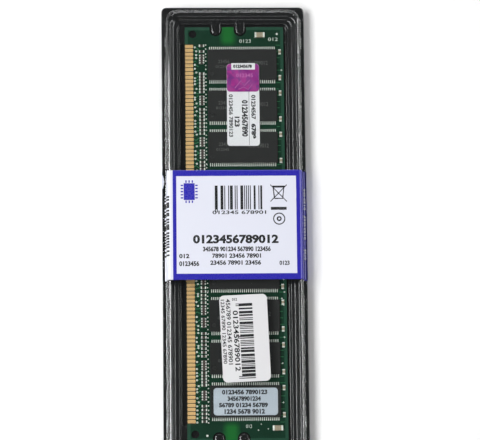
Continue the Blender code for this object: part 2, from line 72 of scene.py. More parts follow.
# Weights of printed digits, as the growth of their outlines.
FINE_WEIGHT = 0.2
PLAIN_WEIGHT = 0.4
FIRM_WEIGHT = 0.45
BOLD_WEIGHT = 0.6
FRONT_CHIPS = [f"dram_front_{number + 1}" for number in range(CHIP_COUNT)]
BACK_CHIPS = [f"dram_back_{number + 1}" for number in range(CHIP_COUNT)]


# ---- sizes and colours ---------------------------------------------------------
def linear_colour(code):
    """An sRGB hex colour as linear red, green, blue and alpha."""
    channels = []
    for start in (1, 3, 5):
        value = int(code[start:start + 2], 16) / 255
        channels.append(value / 12.92 if value <= 0.04045 else ((value + 0.055) / 1.055) ** 2.4)
    return (*channels, 1.0)


def size_property(name, description, millimetres):
    """A size that can be changed, written in millimetres and kept in metres."""
    return FloatProperty(name=name, description=description, default=millimetres * MM,
                         min=0.0, precision=5, subtype="DISTANCE", unit="LENGTH")


def colour_property(name, description, code):
    """A colour that can be changed, written as sRGB hex and kept linear."""
    return FloatVectorProperty(name=name, description=description, size=3, min=0.0, max=1.0,
                               default=linear_colour(code)[:3], subtype="COLOR")


class PackSettings(PropertyGroup):
    """Tray and lid."""

    tray_sheet: size_property("Tray sheet", "Thickness of the black sheet", 0.45)
    rim_width: size_property("Rim width", "Flat rim round the tray", 2.7)
    rim_corner: size_property("Rim corner", "Radius of the pack's outer corners", 1.6)
    shelf_width: size_property("Shelf width", "Shelf between the step and the cavity", 1.35)
    step_run: size_property("Step run", "Width of the slope between the rim and the shelf", 1.15)
    step_drop: size_property("Step drop", "Height of the rim above the shelf", 1.0)
    cavity_corner: size_property("Cavity corner", "Radius of the cavity's corners", 1.8)
    wall_draft: size_property("Wall draft", "Lean of each cavity wall", 0.3)
    ledge_side: size_property("Side ledge", "Ledge along the cavity's sides", 0.45)
    ledge_end: size_property("End ledge", "Ledge that carries the board's ends", 5.3)
    tray_fold: size_property("Tray fold", "Rounding where the tray's sheet turns", 0.3)
    lug_clear: size_property("Lug clearance", "Gap between a lug and its notch", 0.35)
    lug_proud: size_property("Lug height", "Height of the lugs above the board's face", 0.6)
    lid_sheet: size_property("Lid sheet", "Thickness of the clear sheet", 0.35)
    lid_flange: size_property("Lid flange", "Flat flange round the lid", 0.9)
    lid_draft: size_property("Lid draft", "Lean of the lid's walls", 0.45)
    lid_corner: size_property("Lid corner", "Radius of the lid's upright corners", 3.8)
    lid_edge: size_property("Lid edge", "Rounding between the lid's walls and top", 1.0)
    tray_colour: colour_property("Tray colour", "Colour of the tray's plastic", "#1A1B1C")
    lid_tint: colour_property("Lid tint", "Light that the clear lid lets through", "#FCFDFD")


class LabelSettings(PropertyGroup):
    """Seal label and stickers."""

    sheet: size_property("Label sheet", "Thickness of the seal label and price sticker", 0.12)
    ink_lift: size_property("Ink lift", "Height of printed ink above its paper", 0.006)
    torn_depth: size_property("Torn depth", "How far the torn corner reaches in", 3.3)
    torn_length: size_property("Torn length", "Length of the torn edge along the pack", 8.0)
    panel_inset: size_property("Panel inset", "Width of the printed frame at its ends", 1.9)
    price_turn: FloatProperty(name="Price turn", description="How askew the price sticker is",
                              default=math.radians(2.3), subtype="ANGLE", unit="ROTATION")
    side_frame: size_property("Side frame", "Width of the printed frame on the left", 1.15)
    ink_blue: colour_property("Frame ink", "Colour of the printed frame", "#1E17A6")
    ink_black: colour_property("Black ink", "Colour of the bars and digits", "#15161A")
    paper: colour_property("Paper", "Colour of the coated papers", "#ECECEE")
    seal_white: colour_property("Seal paper", "Colour of the seal label's paper", "#DADCE8")
    silver: colour_property("Silver film", "Colour of the silver sticker", "#C3CDD7")
    foil: colour_property("Foil", "Main colour of the foil patch", "#B02A8E")
    # The foil's darker facets are painted shade and its lighter bands painted sheen.
    foil_facet_painted_shade: colour_property("Foil shade", "Colour of the foil's darker facets", "#7C2E88")
    foil_pink_and_painted_sheen: colour_property("Foil light", "Colour of the foil's lighter bands", "#C86AB4")


class BoardSettings(PropertyGroup):
    """Board, contacts and the parts on it."""

    contact_pitch: size_property("Contact pitch", "Distance between contacts", 1.27)
    contact_width: size_property("Contact width", "Width of one contact", 1.02)
    contact_corner: size_property("Contact corner", "Rounding at a contact's inner end", 0.25)
    lead_pitch: size_property("Lead pitch", "Distance between the chips' leads", 0.65)
    lead_width: size_property("Lead width", "Width of one lead", 0.3)
    chip_width: size_property("Chip width", "Body of a chip across its leads", 10.16)
    chip_standoff: size_property("Chip standoff", "Air under a chip's body", 0.1)
    notch_low: size_property("Low notch", "First side notch above the contact edge", 10.0)
    notch_high: size_property("High notch", "Second side notch above the contact edge", 17.78)
    notch_width: size_property("Notch width", "Width of a side notch", 4.0)
    notch_depth: size_property("Notch depth", "Depth of a side notch", 3.0)
    leads_per_side: IntProperty(name="Leads per side", description="Leads on each chip side",
                                default=33, min=2, max=40)
    pin_mark: size_property("Pin mark", "Diameter of the dimple by the first lead", 1.5)
    trace_width: size_property("Trace width", "Width of a copper trace", 0.22)
    via_diameter: size_property("Via diameter", "Diameter of a plated hole's ring", 0.62)
    mask: colour_property("Solder mask", "Colour over the copper planes", "#123B29")
    mask_margin: colour_property("Mask margin", "Colour along the board's edges", "#254B3A")
    mask_bright: colour_property("Clear mask", "Colour where no copper lies beneath", "#1A6A2C")
    track: colour_property("Track", "Colour over a copper track", "#3C8458")
    laminate: colour_property("Laminate", "Colour of bare board between contacts", "#2B1E08")
    gold: colour_property("Gold", "Colour of the plated contacts", "#F2C98A")
    chip: colour_property("Chip", "Colour of the chips' epoxy", "#191B1A")
    ceramic: colour_property("Ceramic", "Colour of the capacitors", "#A3957A")
    printing: colour_property("Board printing", "Colour of the marks on the board", "#D5E0D4")


class StageSettings(PropertyGroup):
    """Floor, lights and camera."""

    floor_colour: colour_property("Floor", "Colour of the floor", "#FAFAFA")
    floor_size: size_property("Floor size", "Side of the floor", 4000.0)
    camera_distance: size_property("Camera distance", "From the camera to the board's face", 735.0)
    lens: FloatProperty(name="Lens", description="Focal length", default=173.2, min=1.0,
                        subtype="DISTANCE_CAMERA")
    aim_x: size_property("Aim across", "What the camera looks at, from the board's middle", 1.326)
    aim_y: size_property("Aim along", "What the camera looks at, along the pack", 3.657)
    view_tilt: FloatProperty(name="Tilt", description="Camera's tilt about X",
                             default=math.radians(9.19), subtype="ANGLE", unit="ROTATION")
    view_lean: FloatProperty(name="Lean", description="Camera's lean about Y",
                             default=math.radians(-1.85), subtype="ANGLE", unit="ROTATION")
    view_roll: FloatProperty(name="Roll", description="Camera's roll about its own axis",
                             default=math.radians(-0.6), subtype="ANGLE", unit="ROTATION")
    card_power: FloatProperty(name="Edge card", description="Card seen only in reflections",
                              default=2.8, min=0.0, unit="POWER")
    horizon_light: FloatProperty(name="Horizon light", description="Even light near the floor",
                                 default=0.75, min=0.0)
    world_light: FloatProperty(name="World light", description="Even light from all round",
                               default=0.05, min=0.0)
    key_power: FloatProperty(name="Key light", description="Power of the light on the left",
                             default=3.8, min=0.0, unit="POWER")
    fill_power: FloatProperty(name="Fill lights", description="Power of each other light",
                              default=0.72, min=0.0, unit="POWER")


# ---- shapes --------------------------------------------------------------------
def arc(centre_x, centre_y, radius, start, end, steps=6):
    """Points along an arc, both ends included; angles in degrees."""
    points = []
    for step in range(steps + 1):
        angle = math.radians(start + (end - start) * step / steps)
        points.append((centre_x + radius * math.cos(angle), centre_y + radius * math.sin(angle)))
    return points


def rounded_rectangle(half_x, half_y, radius, steps=8):
    """A rounded rectangle about the origin, counter-clockwise seen from above."""
    inner_x = half_x - radius
    inner_y = half_y - radius
    return (arc(inner_x, inner_y, radius, 0, 90, steps)
            + arc(-inner_x, inner_y, radius, 90, 180, steps)
            + arc(-inner_x, -inner_y, radius, 180, 270, steps)
            + arc(inner_x, -inner_y, radius, 270, 360, steps))


class Shape:
    """Gathers surfaces drawn in millimetres and turns them into one mesh in metres."""

    def __init__(self):
        self.shell = bmesh.new()

    def block(self, low, high, edge=0.0, segments=2):
        """A block between two corners, with rounded edges where edge is given."""
        made = bmesh.ops.create_cube(self.shell, size=1.0)["verts"]
        for vertex in made:
            for axis in range(3):
                middle = (low[axis] + high[axis]) / 2
                vertex.co[axis] = middle + vertex.co[axis] * (high[axis] - low[axis])
        if edge:
            edges = list({line for vertex in made for line in vertex.link_edges})
            bmesh.ops.bevel(self.shell, geom=edges, offset=edge, segments=segments,
                            profile=0.5, affect="EDGES")

    def face(self, outline, height):
        """A flat face inside an outline."""
        self.shell.faces.new([self.shell.verts.new((x, y, height)) for x, y in outline])

    def prism(self, outline, low, high):
        """A solid of one outline between two heights."""
        self.skin([(outline, low), (outline, high)], True, True)

    def skin(self, rings, close_first=False, close_last=False):
        """A skin over rings of equal count, each an outline with its height."""
        rows = [[self.shell.verts.new((x, y, z)) for x, y in outline] for outline, z in rings]
        for lower, upper in zip(rows, rows[1:]):
            count = len(lower)
            for index in range(count):
                after = (index + 1) % count
                self.shell.faces.new((lower[index], lower[after], upper[after], upper[index]))
        if close_first:
            self.shell.faces.new(list(reversed(rows[0])))
        if close_last:
            self.shell.faces.new(rows[-1])

    def bar(self, centre_x, centre_y, length_x, length_y, height=0.0):
        """A flat rectangle about its centre."""
        half_x = length_x / 2
        half_y = length_y / 2
        self.face([(centre_x - half_x, centre_y - half_y), (centre_x + half_x, centre_y - half_y),
                   (centre_x + half_x, centre_y + half_y), (centre_x - half_x, centre_y + half_y)],
                  height)

    def line(self, points, width, height=0.0):
        """A flat line of one width along points."""
        left = []
        right = []
        for index, point in enumerate(points):
            before = Vector(points[max(index - 1, 0)])
            after = Vector(points[min(index + 1, len(points) - 1)])
            run = (after - before).normalized()
            side = Vector((-run.y, run.x)) * width / 2
            left.append(Vector(point) + side)
            right.append(Vector(point) - side)
        for index in range(len(points) - 1):
            corners = (right[index], right[index + 1], left[index + 1], left[index])
            self.face([tuple(corner) for corner in corners], height)

    def ring(self, centre_x, centre_y, outer, inner, height=0.0, steps=20):
        """A flat ring, or a disc where the inner radius is nothing."""
        rim = arc(centre_x, centre_y, outer, 0, 360, steps)[:-1]
        if not inner:
            self.face(rim, height)
            return
        hole = arc(centre_x, centre_y, inner, 0, 360, steps)[:-1]
        for index in range(steps):
            after = (index + 1) % steps
            self.face([rim[index], rim[after], hole[after], hole[index]], height)

    def add(self, mesh, matrix):
        """A mesh drawn in millimetres, put in place."""
        before = len(self.shell.verts)
        self.shell.from_mesh(mesh)
        self.shell.verts.ensure_lookup_table()
        bmesh.ops.transform(self.shell, matrix=matrix, verts=self.shell.verts[before:])

    def mesh(self, name, smooth=None):
        """The finished mesh in metres, smooth up to an angle in degrees where one is given."""
        self.shell.normal_update()
        bmesh.ops.scale(self.shell, vec=(MM, MM, MM), verts=self.shell.verts)
        made = bpy.data.meshes.new(name)
        self.shell.to_mesh(made)
        self.shell.free()
        if smooth is not None:
            made.shade_smooth()
            made.set_sharp_from_angle(angle=math.radians(smooth))
        return made


def node_box(name):
    """Lowest and highest corner of a frame node, in millimetres."""
    low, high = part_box(name)
    return low / MM, high / MM


def add_piece(name, mesh, material, body, matrix=None, hidden=()):
    """Put a piece in the scene; it rides on its body and stands for the hidden nodes."""
    piece = bpy.data.objects.new(name, mesh)
    bpy.context.scene.collection.objects.link(piece)
    if matrix is not None:
        piece.matrix_world = matrix
    mesh.materials.clear()
    mesh.materials.append(material)
    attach(piece, body)
    if hidden:
        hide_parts(*hidden)
    return piece


def add_shape(name, shape, material, body, smooth=None, matrix=None, hidden=()):
    """Finish a shape and put it in the scene as a piece of the same name."""
    return add_piece(name, shape.mesh(name, smooth), material, body, matrix, hidden)


def add_modifier(piece, name, kind, **settings):
    """Add a modifier with its settings."""
    made = piece.modifiers.new(name, kind)
    for setting, value in settings.items():
        setattr(made, setting, value)
    return made


def paint_node(name, material):
    """Give a frame node a finished material."""
    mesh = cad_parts[name].data
    mesh.materials.clear()
    mesh.materials.append(material)


# ---- materials -----------------------------------------------------------------
def add_node(tree, kind, output, inputs, **settings):
    """Add a node with its settings, link or set its inputs, and give back one output."""
    made = tree.nodes.new(kind)
    for name, value in settings.items():
        setattr(made, name, value)
    connect(tree, made, inputs)
    return made.outputs[output]


def connect(tree, node, inputs):
    """Link each input to a socket, or set it to a value."""
    for key, value in inputs.items():
        if isinstance(value, bpy.types.NodeSocket):
            tree.links.new(value, node.inputs[key])
        else:
            node.inputs[key].default_value = value


def new_material(name):
    """A material with its Principled shader and the object's own places."""
    material = bpy.data.materials.new(name)
    material.use_nodes = True
    tree = material.node_tree
    place = add_node(tree, "ShaderNodeTexCoord", "Object", {})
    return material, tree, tree.nodes["Principled BSDF"], place


def opaque(colour, share=1.0):
    """A property's colour, scaled towards black by a share, with full alpha."""
    return (*[channel * share for channel in colour], 1.0)


def shared(name, make, *settings):
    """The material of this name, made the first time that it is asked for."""
    return bpy.data.materials.get(name) or make(*settings)


def black_polystyrene(settings):
    """Polystyrene sheet, vacuum formed: deep black gloss with a slow ripple and fine scuffs.

    The scuffs are drawn at half a millimetre, coarser than real ones, so that they show.
    """
    material, tree, shader, place = new_material("black_polystyrene_thermoformed")
    ripple = add_node(tree, "ShaderNodeTexNoise", "Fac", {
        "Vector": place, "Scale": 1 / (9.0 * MM), "Detail": 1.0})
    scuffs = add_node(tree, "ShaderNodeTexNoise", "Fac", {
        "Vector": place, "Scale": 1 / (0.5 * MM), "Detail": 4.0, "Roughness": 0.7})
    height = add_node(tree, "ShaderNodeMath", "Value", {0: scuffs, 1: 0.004, 2: ripple},
                      operation="MULTIPLY_ADD")
    tone = add_node(tree, "ShaderNodeMix", 2, {
        0: scuffs, 6: opaque(settings.tray_colour), 7: opaque(settings.tray_colour, 0.6),
    }, data_type="RGBA")
    gloss = add_node(tree, "ShaderNodeMapRange", "Result", {
        "Value": scuffs, "From Min": 0.3, "From Max": 0.7, "To Min": 0.12, "To Max": 0.22})
    normal = add_node(tree, "ShaderNodeBump", "Normal", {
        "Height": height, "Distance": 0.04 * MM})
    connect(tree, shader, {"Base Color": tone, "IOR": 1.59, "Roughness": gloss,
                           "Normal": normal})
    return material


def clear_sheet(settings):
    """PET sheet, vacuum formed: seen straight through, with bright lines where it bends."""
    material, tree, shader, place = new_material("clear_pet_thermoformed")
    ripple = add_node(tree, "ShaderNodeTexNoise", "Fac", {
        "Vector": place, "Scale": 1 / (12.0 * MM), "Detail": 1.0})
    normal = add_node(tree, "ShaderNodeBump", "Normal", {
        "Height": ripple, "Distance": 0.02 * MM})
    connect(tree, shader, {"Base Color": (1.0, 1.0, 1.0, 1.0), "Metallic": 1.0,
                           "Roughness": 0.06, "Normal": normal})
    facing = add_node(tree, "ShaderNodeLayerWeight", "Facing", {
        "Blend": 0.5, "Normal": normal})
    grazing = add_node(tree, "ShaderNodeMath", "Value", {0: facing, 1: 5.0},
                       operation="POWER")
    share = add_node(tree, "ShaderNodeMath", "Value", {0: grazing, 1: 0.95, 2: 0.047},
                     operation="MULTIPLY_ADD")
    clear = add_node(tree, "ShaderNodeBsdfTransparent", "BSDF", {
        "Color": opaque(settings.lid_tint)})
    mixed = add_node(tree, "ShaderNodeMixShader", "Shader", {
        0: share, 1: clear, 2: shader.outputs["BSDF"]})
    tree.links.new(mixed, tree.nodes["Material Output"].inputs["Surface"])
    return material


def coat_paper(tree, shader, place, colour, roughness):
    """Finish shared by the coated papers: a faint fibre under a satin coating.

    Real fibres are a tenth as wide; they are drawn coarser so that they show.
    """
    fibre = add_node(tree, "ShaderNodeTexNoise", "Fac", {
        "Vector": place, "Scale": 1 / (0.35 * MM), "Detail": 5.0, "Roughness": 0.7})
    shade = add_node(tree, "ShaderNodeMapRange", "Result", {
        "Value": fibre, "From Min": 0.3, "From Max": 0.7, "To Min": 0.0, "To Max": 0.06})
    tone = add_node(tree, "ShaderNodeMix", 2, {
        0: shade, 6: colour, 7: (0.5, 0.5, 0.52, 1.0)}, data_type="RGBA")
    normal = add_node(tree, "ShaderNodeBump", "Normal", {
        "Height": fibre, "Distance": 0.008 * MM})
    connect(tree, shader, {"Base Color": tone, "IOR": 1.5, "Roughness": roughness,
                           "Normal": normal})


def seal_paper(settings, label_low, label_high, panel_x, panel_half_x):
    """Coated paper, offset printed: a deep blue frame round a white panel, white left wall."""
    material, tree, shader, place = new_material("coated_paper_offset_printed")
    middle_y = (label_low.y + label_high.y) / 2 * MM
    half_y = (label_high.y - label_low.y) / 2 * MM - settings.panel_inset
    split = tree.nodes.new("ShaderNodeSeparateXYZ")
    connect(tree, split, {"Vector": place})
    inside = None
    for axis, middle, half in (("X", panel_x * MM, panel_half_x * MM), ("Y", middle_y, half_y)):
        offset = add_node(tree, "ShaderNodeMath", "Value", {
            0: split.outputs[axis], 1: middle}, operation="SUBTRACT")
        distance = add_node(tree, "ShaderNodeMath", "Value", {0: offset},
                            operation="ABSOLUTE")
        within = add_node(tree, "ShaderNodeMath", "Value", {0: distance, 1: half},
                          operation="LESS_THAN")
        if inside is None:
            inside = within
        else:
            inside = add_node(tree, "ShaderNodeMath", "Value", {0: inside, 1: within},
                              operation="MULTIPLY")
    left = (panel_x - panel_half_x) * MM - settings.side_frame
    beyond = add_node(tree, "ShaderNodeMath", "Value", {0: split.outputs["X"], 1: left},
                      operation="LESS_THAN")
    white = add_node(tree, "ShaderNodeMath", "Value", {0: inside, 1: beyond},
                     operation="MAXIMUM")
    density = add_node(tree, "ShaderNodeTexNoise", "Fac", {
        "Vector": place, "Scale": 1 / (0.6 * MM), "Detail": 3.0})
    ink = add_node(tree, "ShaderNodeMix", 2, {
        0: density, 6: opaque(settings.ink_blue), 7: opaque(settings.ink_blue, 0.8),
    }, data_type="RGBA")
    printed = add_node(tree, "ShaderNodeMix", 2, {
        0: white, 6: ink, 7: opaque(settings.seal_white)}, data_type="RGBA")
    coat_paper(tree, shader, place, printed, 0.2)
    return material


def sticker_paper(settings, name, share):
    """Coated paper, thermally printed: clean white with a faint fibre."""
    material, tree, shader, place = new_material(name)
    coat_paper(tree, shader, place, opaque(settings.paper, share), 0.42)
    return material


def printed_ink(name, colour):
    """Ink, printed: a matt film whose density wanders a little."""
    material, tree, shader, place = new_material(name)
    density = add_node(tree, "ShaderNodeTexNoise", "Fac", {
        "Vector": place, "Scale": 1 / (0.4 * MM), "Detail": 3.0})
    thin = add_node(tree, "ShaderNodeMapRange", "Result", {
        "Value": density, "From Min": 0.35, "From Max": 0.75, "To Min": 0.0, "To Max": 0.2})
    tone = add_node(tree, "ShaderNodeMix", 2, {
        0: thin, 6: opaque(colour), 7: (0.3, 0.3, 0.3, 1.0)}, data_type="RGBA")
    normal = add_node(tree, "ShaderNodeBump", "Normal", {
        "Height": density, "Distance": 0.003 * MM})
    connect(tree, shader, {"Base Color": tone, "IOR": 1.48, "Roughness": 0.24,
                           "Normal": normal})
    return material


def silver_film(settings):
    """Polyester film, metallised: cool satin silver with a soft cloudy sheen."""
    material, tree, shader, place = new_material("polyester_film_metallised")
    cloud = add_node(tree, "ShaderNodeTexNoise", "Fac", {
        "Vector": place, "Scale": 1 / (3.0 * MM), "Detail": 4.0})
    tone = add_node(tree, "ShaderNodeMix", 2, {
        0: cloud, 6: opaque(settings.silver), 7: opaque(settings.silver, 0.85),
    }, data_type="RGBA")
    satin = add_node(tree, "ShaderNodeMapRange", "Result", {
        "Value": cloud, "From Min": 0.3, "From Max": 0.7, "To Min": 0.34, "To Max": 0.5})
    normal = add_node(tree, "ShaderNodeBump", "Normal", {
        "Height": cloud, "Distance": 0.02 * MM})
    connect(tree, shader, {"Base Color": tone, "Metallic": 0.3, "Roughness": satin,
                           "Normal": normal})
    return material


def purple_foil(settings):
    """Foil, embossed with fine facets: magenta, with darker violet facets as painted shade and
    lighter pink bands as painted sheen.
    """
    material, tree, shader, place = new_material("foil_embossed_painted_sheen")
    cells = add_node(tree, "ShaderNodeTexVoronoi", "Color", {
        "Vector": place, "Scale": 1 / (1.1 * MM)}, feature="F1")
    facet = add_node(tree, "ShaderNodeSeparateColor", "Red", {"Color": cells})
    bands = add_node(tree, "ShaderNodeTexWave", "Fac", {
        "Vector": place, "Scale": 1 / (14.0 * MM), "Distortion": 6.0, "Detail": 2.0,
    }, bands_direction="DIAGONAL")
    # Facets darkened at random as painted shade, diagonal bands lightened as painted sheen.
    violet = add_node(tree, "ShaderNodeMix", 2, {
        0: facet, 6: opaque(settings.foil), 7: opaque(settings.foil_facet_painted_shade)},
        data_type="RGBA")
    pale = add_node(tree, "ShaderNodeMath", "Value", {0: bands, 1: 0.22},
                    operation="MULTIPLY")
    shine = add_node(tree, "ShaderNodeMix", 2, {
        0: pale, 6: violet, 7: opaque(settings.foil_pink_and_painted_sheen)}, data_type="RGBA")
    relief = add_node(tree, "ShaderNodeMath", "Value", {0: bands, 1: facet},
                      operation="ADD")
    normal = add_node(tree, "ShaderNodeBump", "Normal", {
        "Height": relief, "Distance": 0.02 * MM})
    connect(tree, shader, {"Base Color": shine, "Metallic": 0.45, "Roughness": 0.34,
                           "Normal": normal})
    return material


def solder_mask(settings, low, high, window_x, window_half_x, window_y):
    """Lacquer on glass-fibre board: dark glossy green over copper, paler at the margins."""
    material, tree, shader, place = new_material("glass_fibre_board_lacquered")
    split = tree.nodes.new("ShaderNodeSeparateXYZ")
    connect(tree, split, {"Vector": place})
    offset = add_node(tree, "ShaderNodeMath", "Value", {
        0: split.outputs["X"], 1: window_x * MM}, operation="SUBTRACT")
    across = add_node(tree, "ShaderNodeMath", "Value", {0: offset}, operation="ABSOLUTE")
    along = add_node(tree, "ShaderNodeMath", "Value", {0: split.outputs["Y"]},
                     operation="ABSOLUTE")
    wide = add_node(tree, "ShaderNodeMapRange", "Result", {
        "Value": across, "From Min": (window_half_x + 1.1) * MM,
        "From Max": (window_half_x - 0.9) * MM})
    deep = add_node(tree, "ShaderNodeMapRange", "Result", {
        "Value": along, "From Min": (window_y - 1.2) * MM, "From Max": (window_y + 0.8) * MM})
    bare = add_node(tree, "ShaderNodeMath", "Value", {0: wide, 1: deep},
                    operation="MULTIPLY")
    centred = add_node(tree, "ShaderNodeMath", "Value", {
        0: split.outputs["X"], 1: (low.x + high.x) / 2 * MM}, operation="SUBTRACT")
    reach = add_node(tree, "ShaderNodeMath", "Value", {0: centred}, operation="ABSOLUTE")
    side = add_node(tree, "ShaderNodeMath", "Value", {
        0: reach, 1: ((high.x - low.x) / 2 - 1.0) * MM}, operation="GREATER_THAN")
    end = add_node(tree, "ShaderNodeMath", "Value", {
        0: along, 1: (high.y - 1.0) * MM}, operation="GREATER_THAN")
    margin = add_node(tree, "ShaderNodeMath", "Value", {0: side, 1: end},
                      operation="MAXIMUM")
    cloud = add_node(tree, "ShaderNodeTexNoise", "Fac", {
        "Vector": place, "Scale": 1 / (7.0 * MM), "Detail": 3.0})
    plane = add_node(tree, "ShaderNodeMix", 2, {
        0: cloud, 6: opaque(settings.mask), 7: opaque(settings.mask, 0.6)},
        data_type="RGBA")
    laid = add_node(tree, "ShaderNodeMix", 2, {
        0: margin, 6: plane, 7: opaque(settings.mask_margin)}, data_type="RGBA")
    tone = add_node(tree, "ShaderNodeMix", 2, {
        0: bare, 6: laid, 7: opaque(settings.mask_bright)}, data_type="RGBA")
    peel = add_node(tree, "ShaderNodeTexNoise", "Fac", {
        "Vector": place, "Scale": 1 / (0.9 * MM), "Detail": 2.0})
    gloss = add_node(tree, "ShaderNodeMapRange", "Result", {
        "Value": peel, "From Min": 0.3, "From Max": 0.7, "To Min": 0.12, "To Max": 0.2})
    normal = add_node(tree, "ShaderNodeBump", "Normal", {
        "Height": peel, "Distance": 0.003 * MM})
    connect(tree, shader, {"Base Color": tone, "IOR": 1.52, "Roughness": gloss,
                           "Normal": normal})
    return material


def bare_laminate(settings):
    """Glass-fibre laminate, bare: dull brown with a weave at the spacing of its yarns."""
    material, tree, shader, place = new_material("glass_fibre_laminate_bare")
    weave = add_node(tree, "ShaderNodeTexVoronoi", "Distance", {
        "Vector": place, "Scale": 1 / (0.3 * MM)}, feature="F1")
    tone = add_node(tree, "ShaderNodeMix", 2, {
        0: weave, 6: opaque(settings.laminate), 7: opaque(settings.laminate, 0.5)},
        data_type="RGBA")
    normal = add_node(tree, "ShaderNodeBump", "Normal", {
        "Height": weave, "Distance": 0.01 * MM})
    connect(tree, shader, {"Base Color": tone, "IOR": 1.52, "Roughness": 0.8,
                           "Normal": normal})
    return material


def masked_trace(settings):
    """The same lacquer over copper tracks: a step lighter where the copper stands up."""
    material, tree, shader, place = new_material("copper_track_lacquered")
    cloud = add_node(tree, "ShaderNodeTexNoise", "Fac", {
        "Vector": place, "Scale": 1 / (1.2 * MM), "Detail": 2.0})
    tone = add_node(tree, "ShaderNodeMix", 2, {
        0: cloud, 6: opaque(settings.track), 7: opaque(settings.track, 0.6)},
        data_type="RGBA")
    connect(tree, shader, {"Base Color": tone, "IOR": 1.52, "Roughness": 0.26})
    return material


def gold_plate(settings):
    """Hard gold, electroplated: warm satin metal with worn, duller patches."""
    material, tree, shader, place = new_material("gold_electroplated")
    wear = add_node(tree, "ShaderNodeTexNoise", "Fac", {
        "Vector": place, "Scale": 1 / (1.6 * MM), "Detail": 4.0, "Roughness": 0.65})
    tone = add_node(tree, "ShaderNodeMix", 2, {
        0: wear, 6: opaque(settings.gold), 7: opaque(settings.gold, 0.72)},
        data_type="RGBA")
    satin = add_node(tree, "ShaderNodeMapRange", "Result", {
        "Value": wear, "From Min": 0.3, "From Max": 0.7, "To Min": 0.33, "To Max": 0.45})
    normal = add_node(tree, "ShaderNodeBump", "Normal", {
        "Height": wear, "Distance": 0.01 * MM})
    connect(tree, shader, {"Base Color": tone, "Metallic": 1.0, "Roughness": satin,
                           "Normal": normal})
    return material


def tin_plate():
    """Tin, plated and reflowed: pale soft metal with a grainy sheen.

    The grain is drawn some ten times coarser than real crystals, so that it shows.
    """
    material, tree, shader, place = new_material("tin_reflowed")
    crystals = add_node(tree, "ShaderNodeTexNoise", "Fac", {
        "Vector": place, "Scale": 1 / (0.5 * MM), "Detail": 4.0, "Roughness": 0.6})
    tone = add_node(tree, "ShaderNodeMix", 2, {
        0: crystals, 6: linear_colour("#EEF1EA"), 7: linear_colour("#B4BAB2")},
        data_type="RGBA")
    satin = add_node(tree, "ShaderNodeMapRange", "Result", {
        "Value": crystals, "From Min": 0.3, "From Max": 0.7, "To Min": 0.42, "To Max": 0.6})
    normal = add_node(tree, "ShaderNodeBump", "Normal", {
        "Height": crystals, "Distance": 0.01 * MM})
    connect(tree, shader, {"Base Color": tone, "Metallic": 0.8, "Roughness": satin,
                           "Normal": normal})
    return material


def moulded_epoxy(settings):
    """Epoxy, transfer moulded: charcoal with the mould's fine spark-eroded grain.

    The grain is drawn some five times coarser than the real one, so that it shows. It holds
    back part of the gloss, so the IOR is below the epoxy's own 1.54.
    """
    material, tree, shader, place = new_material("epoxy_transfer_moulded")
    pits = add_node(tree, "ShaderNodeTexNoise", "Fac", {
        "Vector": place, "Scale": 1 / (0.22 * MM), "Detail": 3.0, "Roughness": 0.6})
    cloud = add_node(tree, "ShaderNodeTexNoise", "Fac", {
        "Vector": place, "Scale": 1 / (14.0 * MM), "Detail": 2.0})
    cool = add_node(tree, "ShaderNodeMix", 2, {
        0: cloud, 6: opaque(settings.chip), 7: opaque(settings.chip, 0.8)},
        data_type="RGBA")
    speck = add_node(tree, "ShaderNodeMapRange", "Result", {
        "Value": pits, "From Min": 0.4, "From Max": 0.75, "To Min": 0.0, "To Max": 0.4})
    tone = add_node(tree, "ShaderNodeMix", 2, {
        0: speck, 6: cool, 7: linear_colour("#2C2D2C")}, data_type="RGBA")
    satin = add_node(tree, "ShaderNodeMapRange", "Result", {
        "Value": pits, "From Min": 0.3, "From Max": 0.7, "To Min": 0.72, "To Max": 0.85})
    normal = add_node(tree, "ShaderNodeBump", "Normal", {
        "Height": pits, "Distance": 0.012 * MM})
    connect(tree, shader, {"Base Color": tone, "IOR": 1.38, "Roughness": satin,
                           "Normal": normal})
    return material


def polished_epoxy_painted_shade(settings):
    """The same epoxy where an ejector pin left it smooth: glossier, and darker in colour as
    painted shade of the dimple's hollow.
    """
    material, tree, shader, place = new_material("epoxy_polished_painted_shade")
    swirl = add_node(tree, "ShaderNodeTexNoise", "Fac", {
        "Vector": place, "Scale": 1 / (0.3 * MM), "Detail": 2.0})
    normal = add_node(tree, "ShaderNodeBump", "Normal", {
        "Height": swirl, "Distance": 0.004 * MM})
    connect(tree, shader, {"Base Color": opaque(settings.chip, 0.5), "IOR": 1.54,
                           "Roughness": 0.3, "Normal": normal})
    return material


def laser_mark():
    """Epoxy, laser marked: a faint warm grey against the moulded face."""
    material, tree, shader, place = new_material("epoxy_laser_marked")
    burn = add_node(tree, "ShaderNodeTexNoise", "Fac", {
        "Vector": place, "Scale": 1 / (0.3 * MM), "Detail": 3.0})
    tone = add_node(tree, "ShaderNodeMix", 2, {
        0: burn, 6: linear_colour("#50514F"), 7: linear_colour("#3A3B3A")},
        data_type="RGBA")
    connect(tree, shader, {"Base Color": tone, "IOR": 1.54, "Roughness": 0.6})
    return material


def capacitor_ceramic(settings):
    """Titanate ceramic, fired: matt tan with fine speckle, drawn coarse enough to show."""
    material, tree, shader, place = new_material("ceramic_fired")
    speckle = add_node(tree, "ShaderNodeTexNoise", "Fac", {
        "Vector": place, "Scale": 1 / (0.18 * MM), "Detail": 3.0, "Roughness": 0.7})
    tone = add_node(tree, "ShaderNodeMix", 2, {
        0: speckle, 6: opaque(settings.ceramic), 7: opaque(settings.ceramic, 0.7)},
        data_type="RGBA")
    normal = add_node(tree, "ShaderNodeBump", "Normal", {
        "Height": speckle, "Distance": 0.01 * MM})
    connect(tree, shader, {"Base Color": tone, "IOR": 1.6, "Roughness": 0.5,
                           "Normal": normal})
    return material


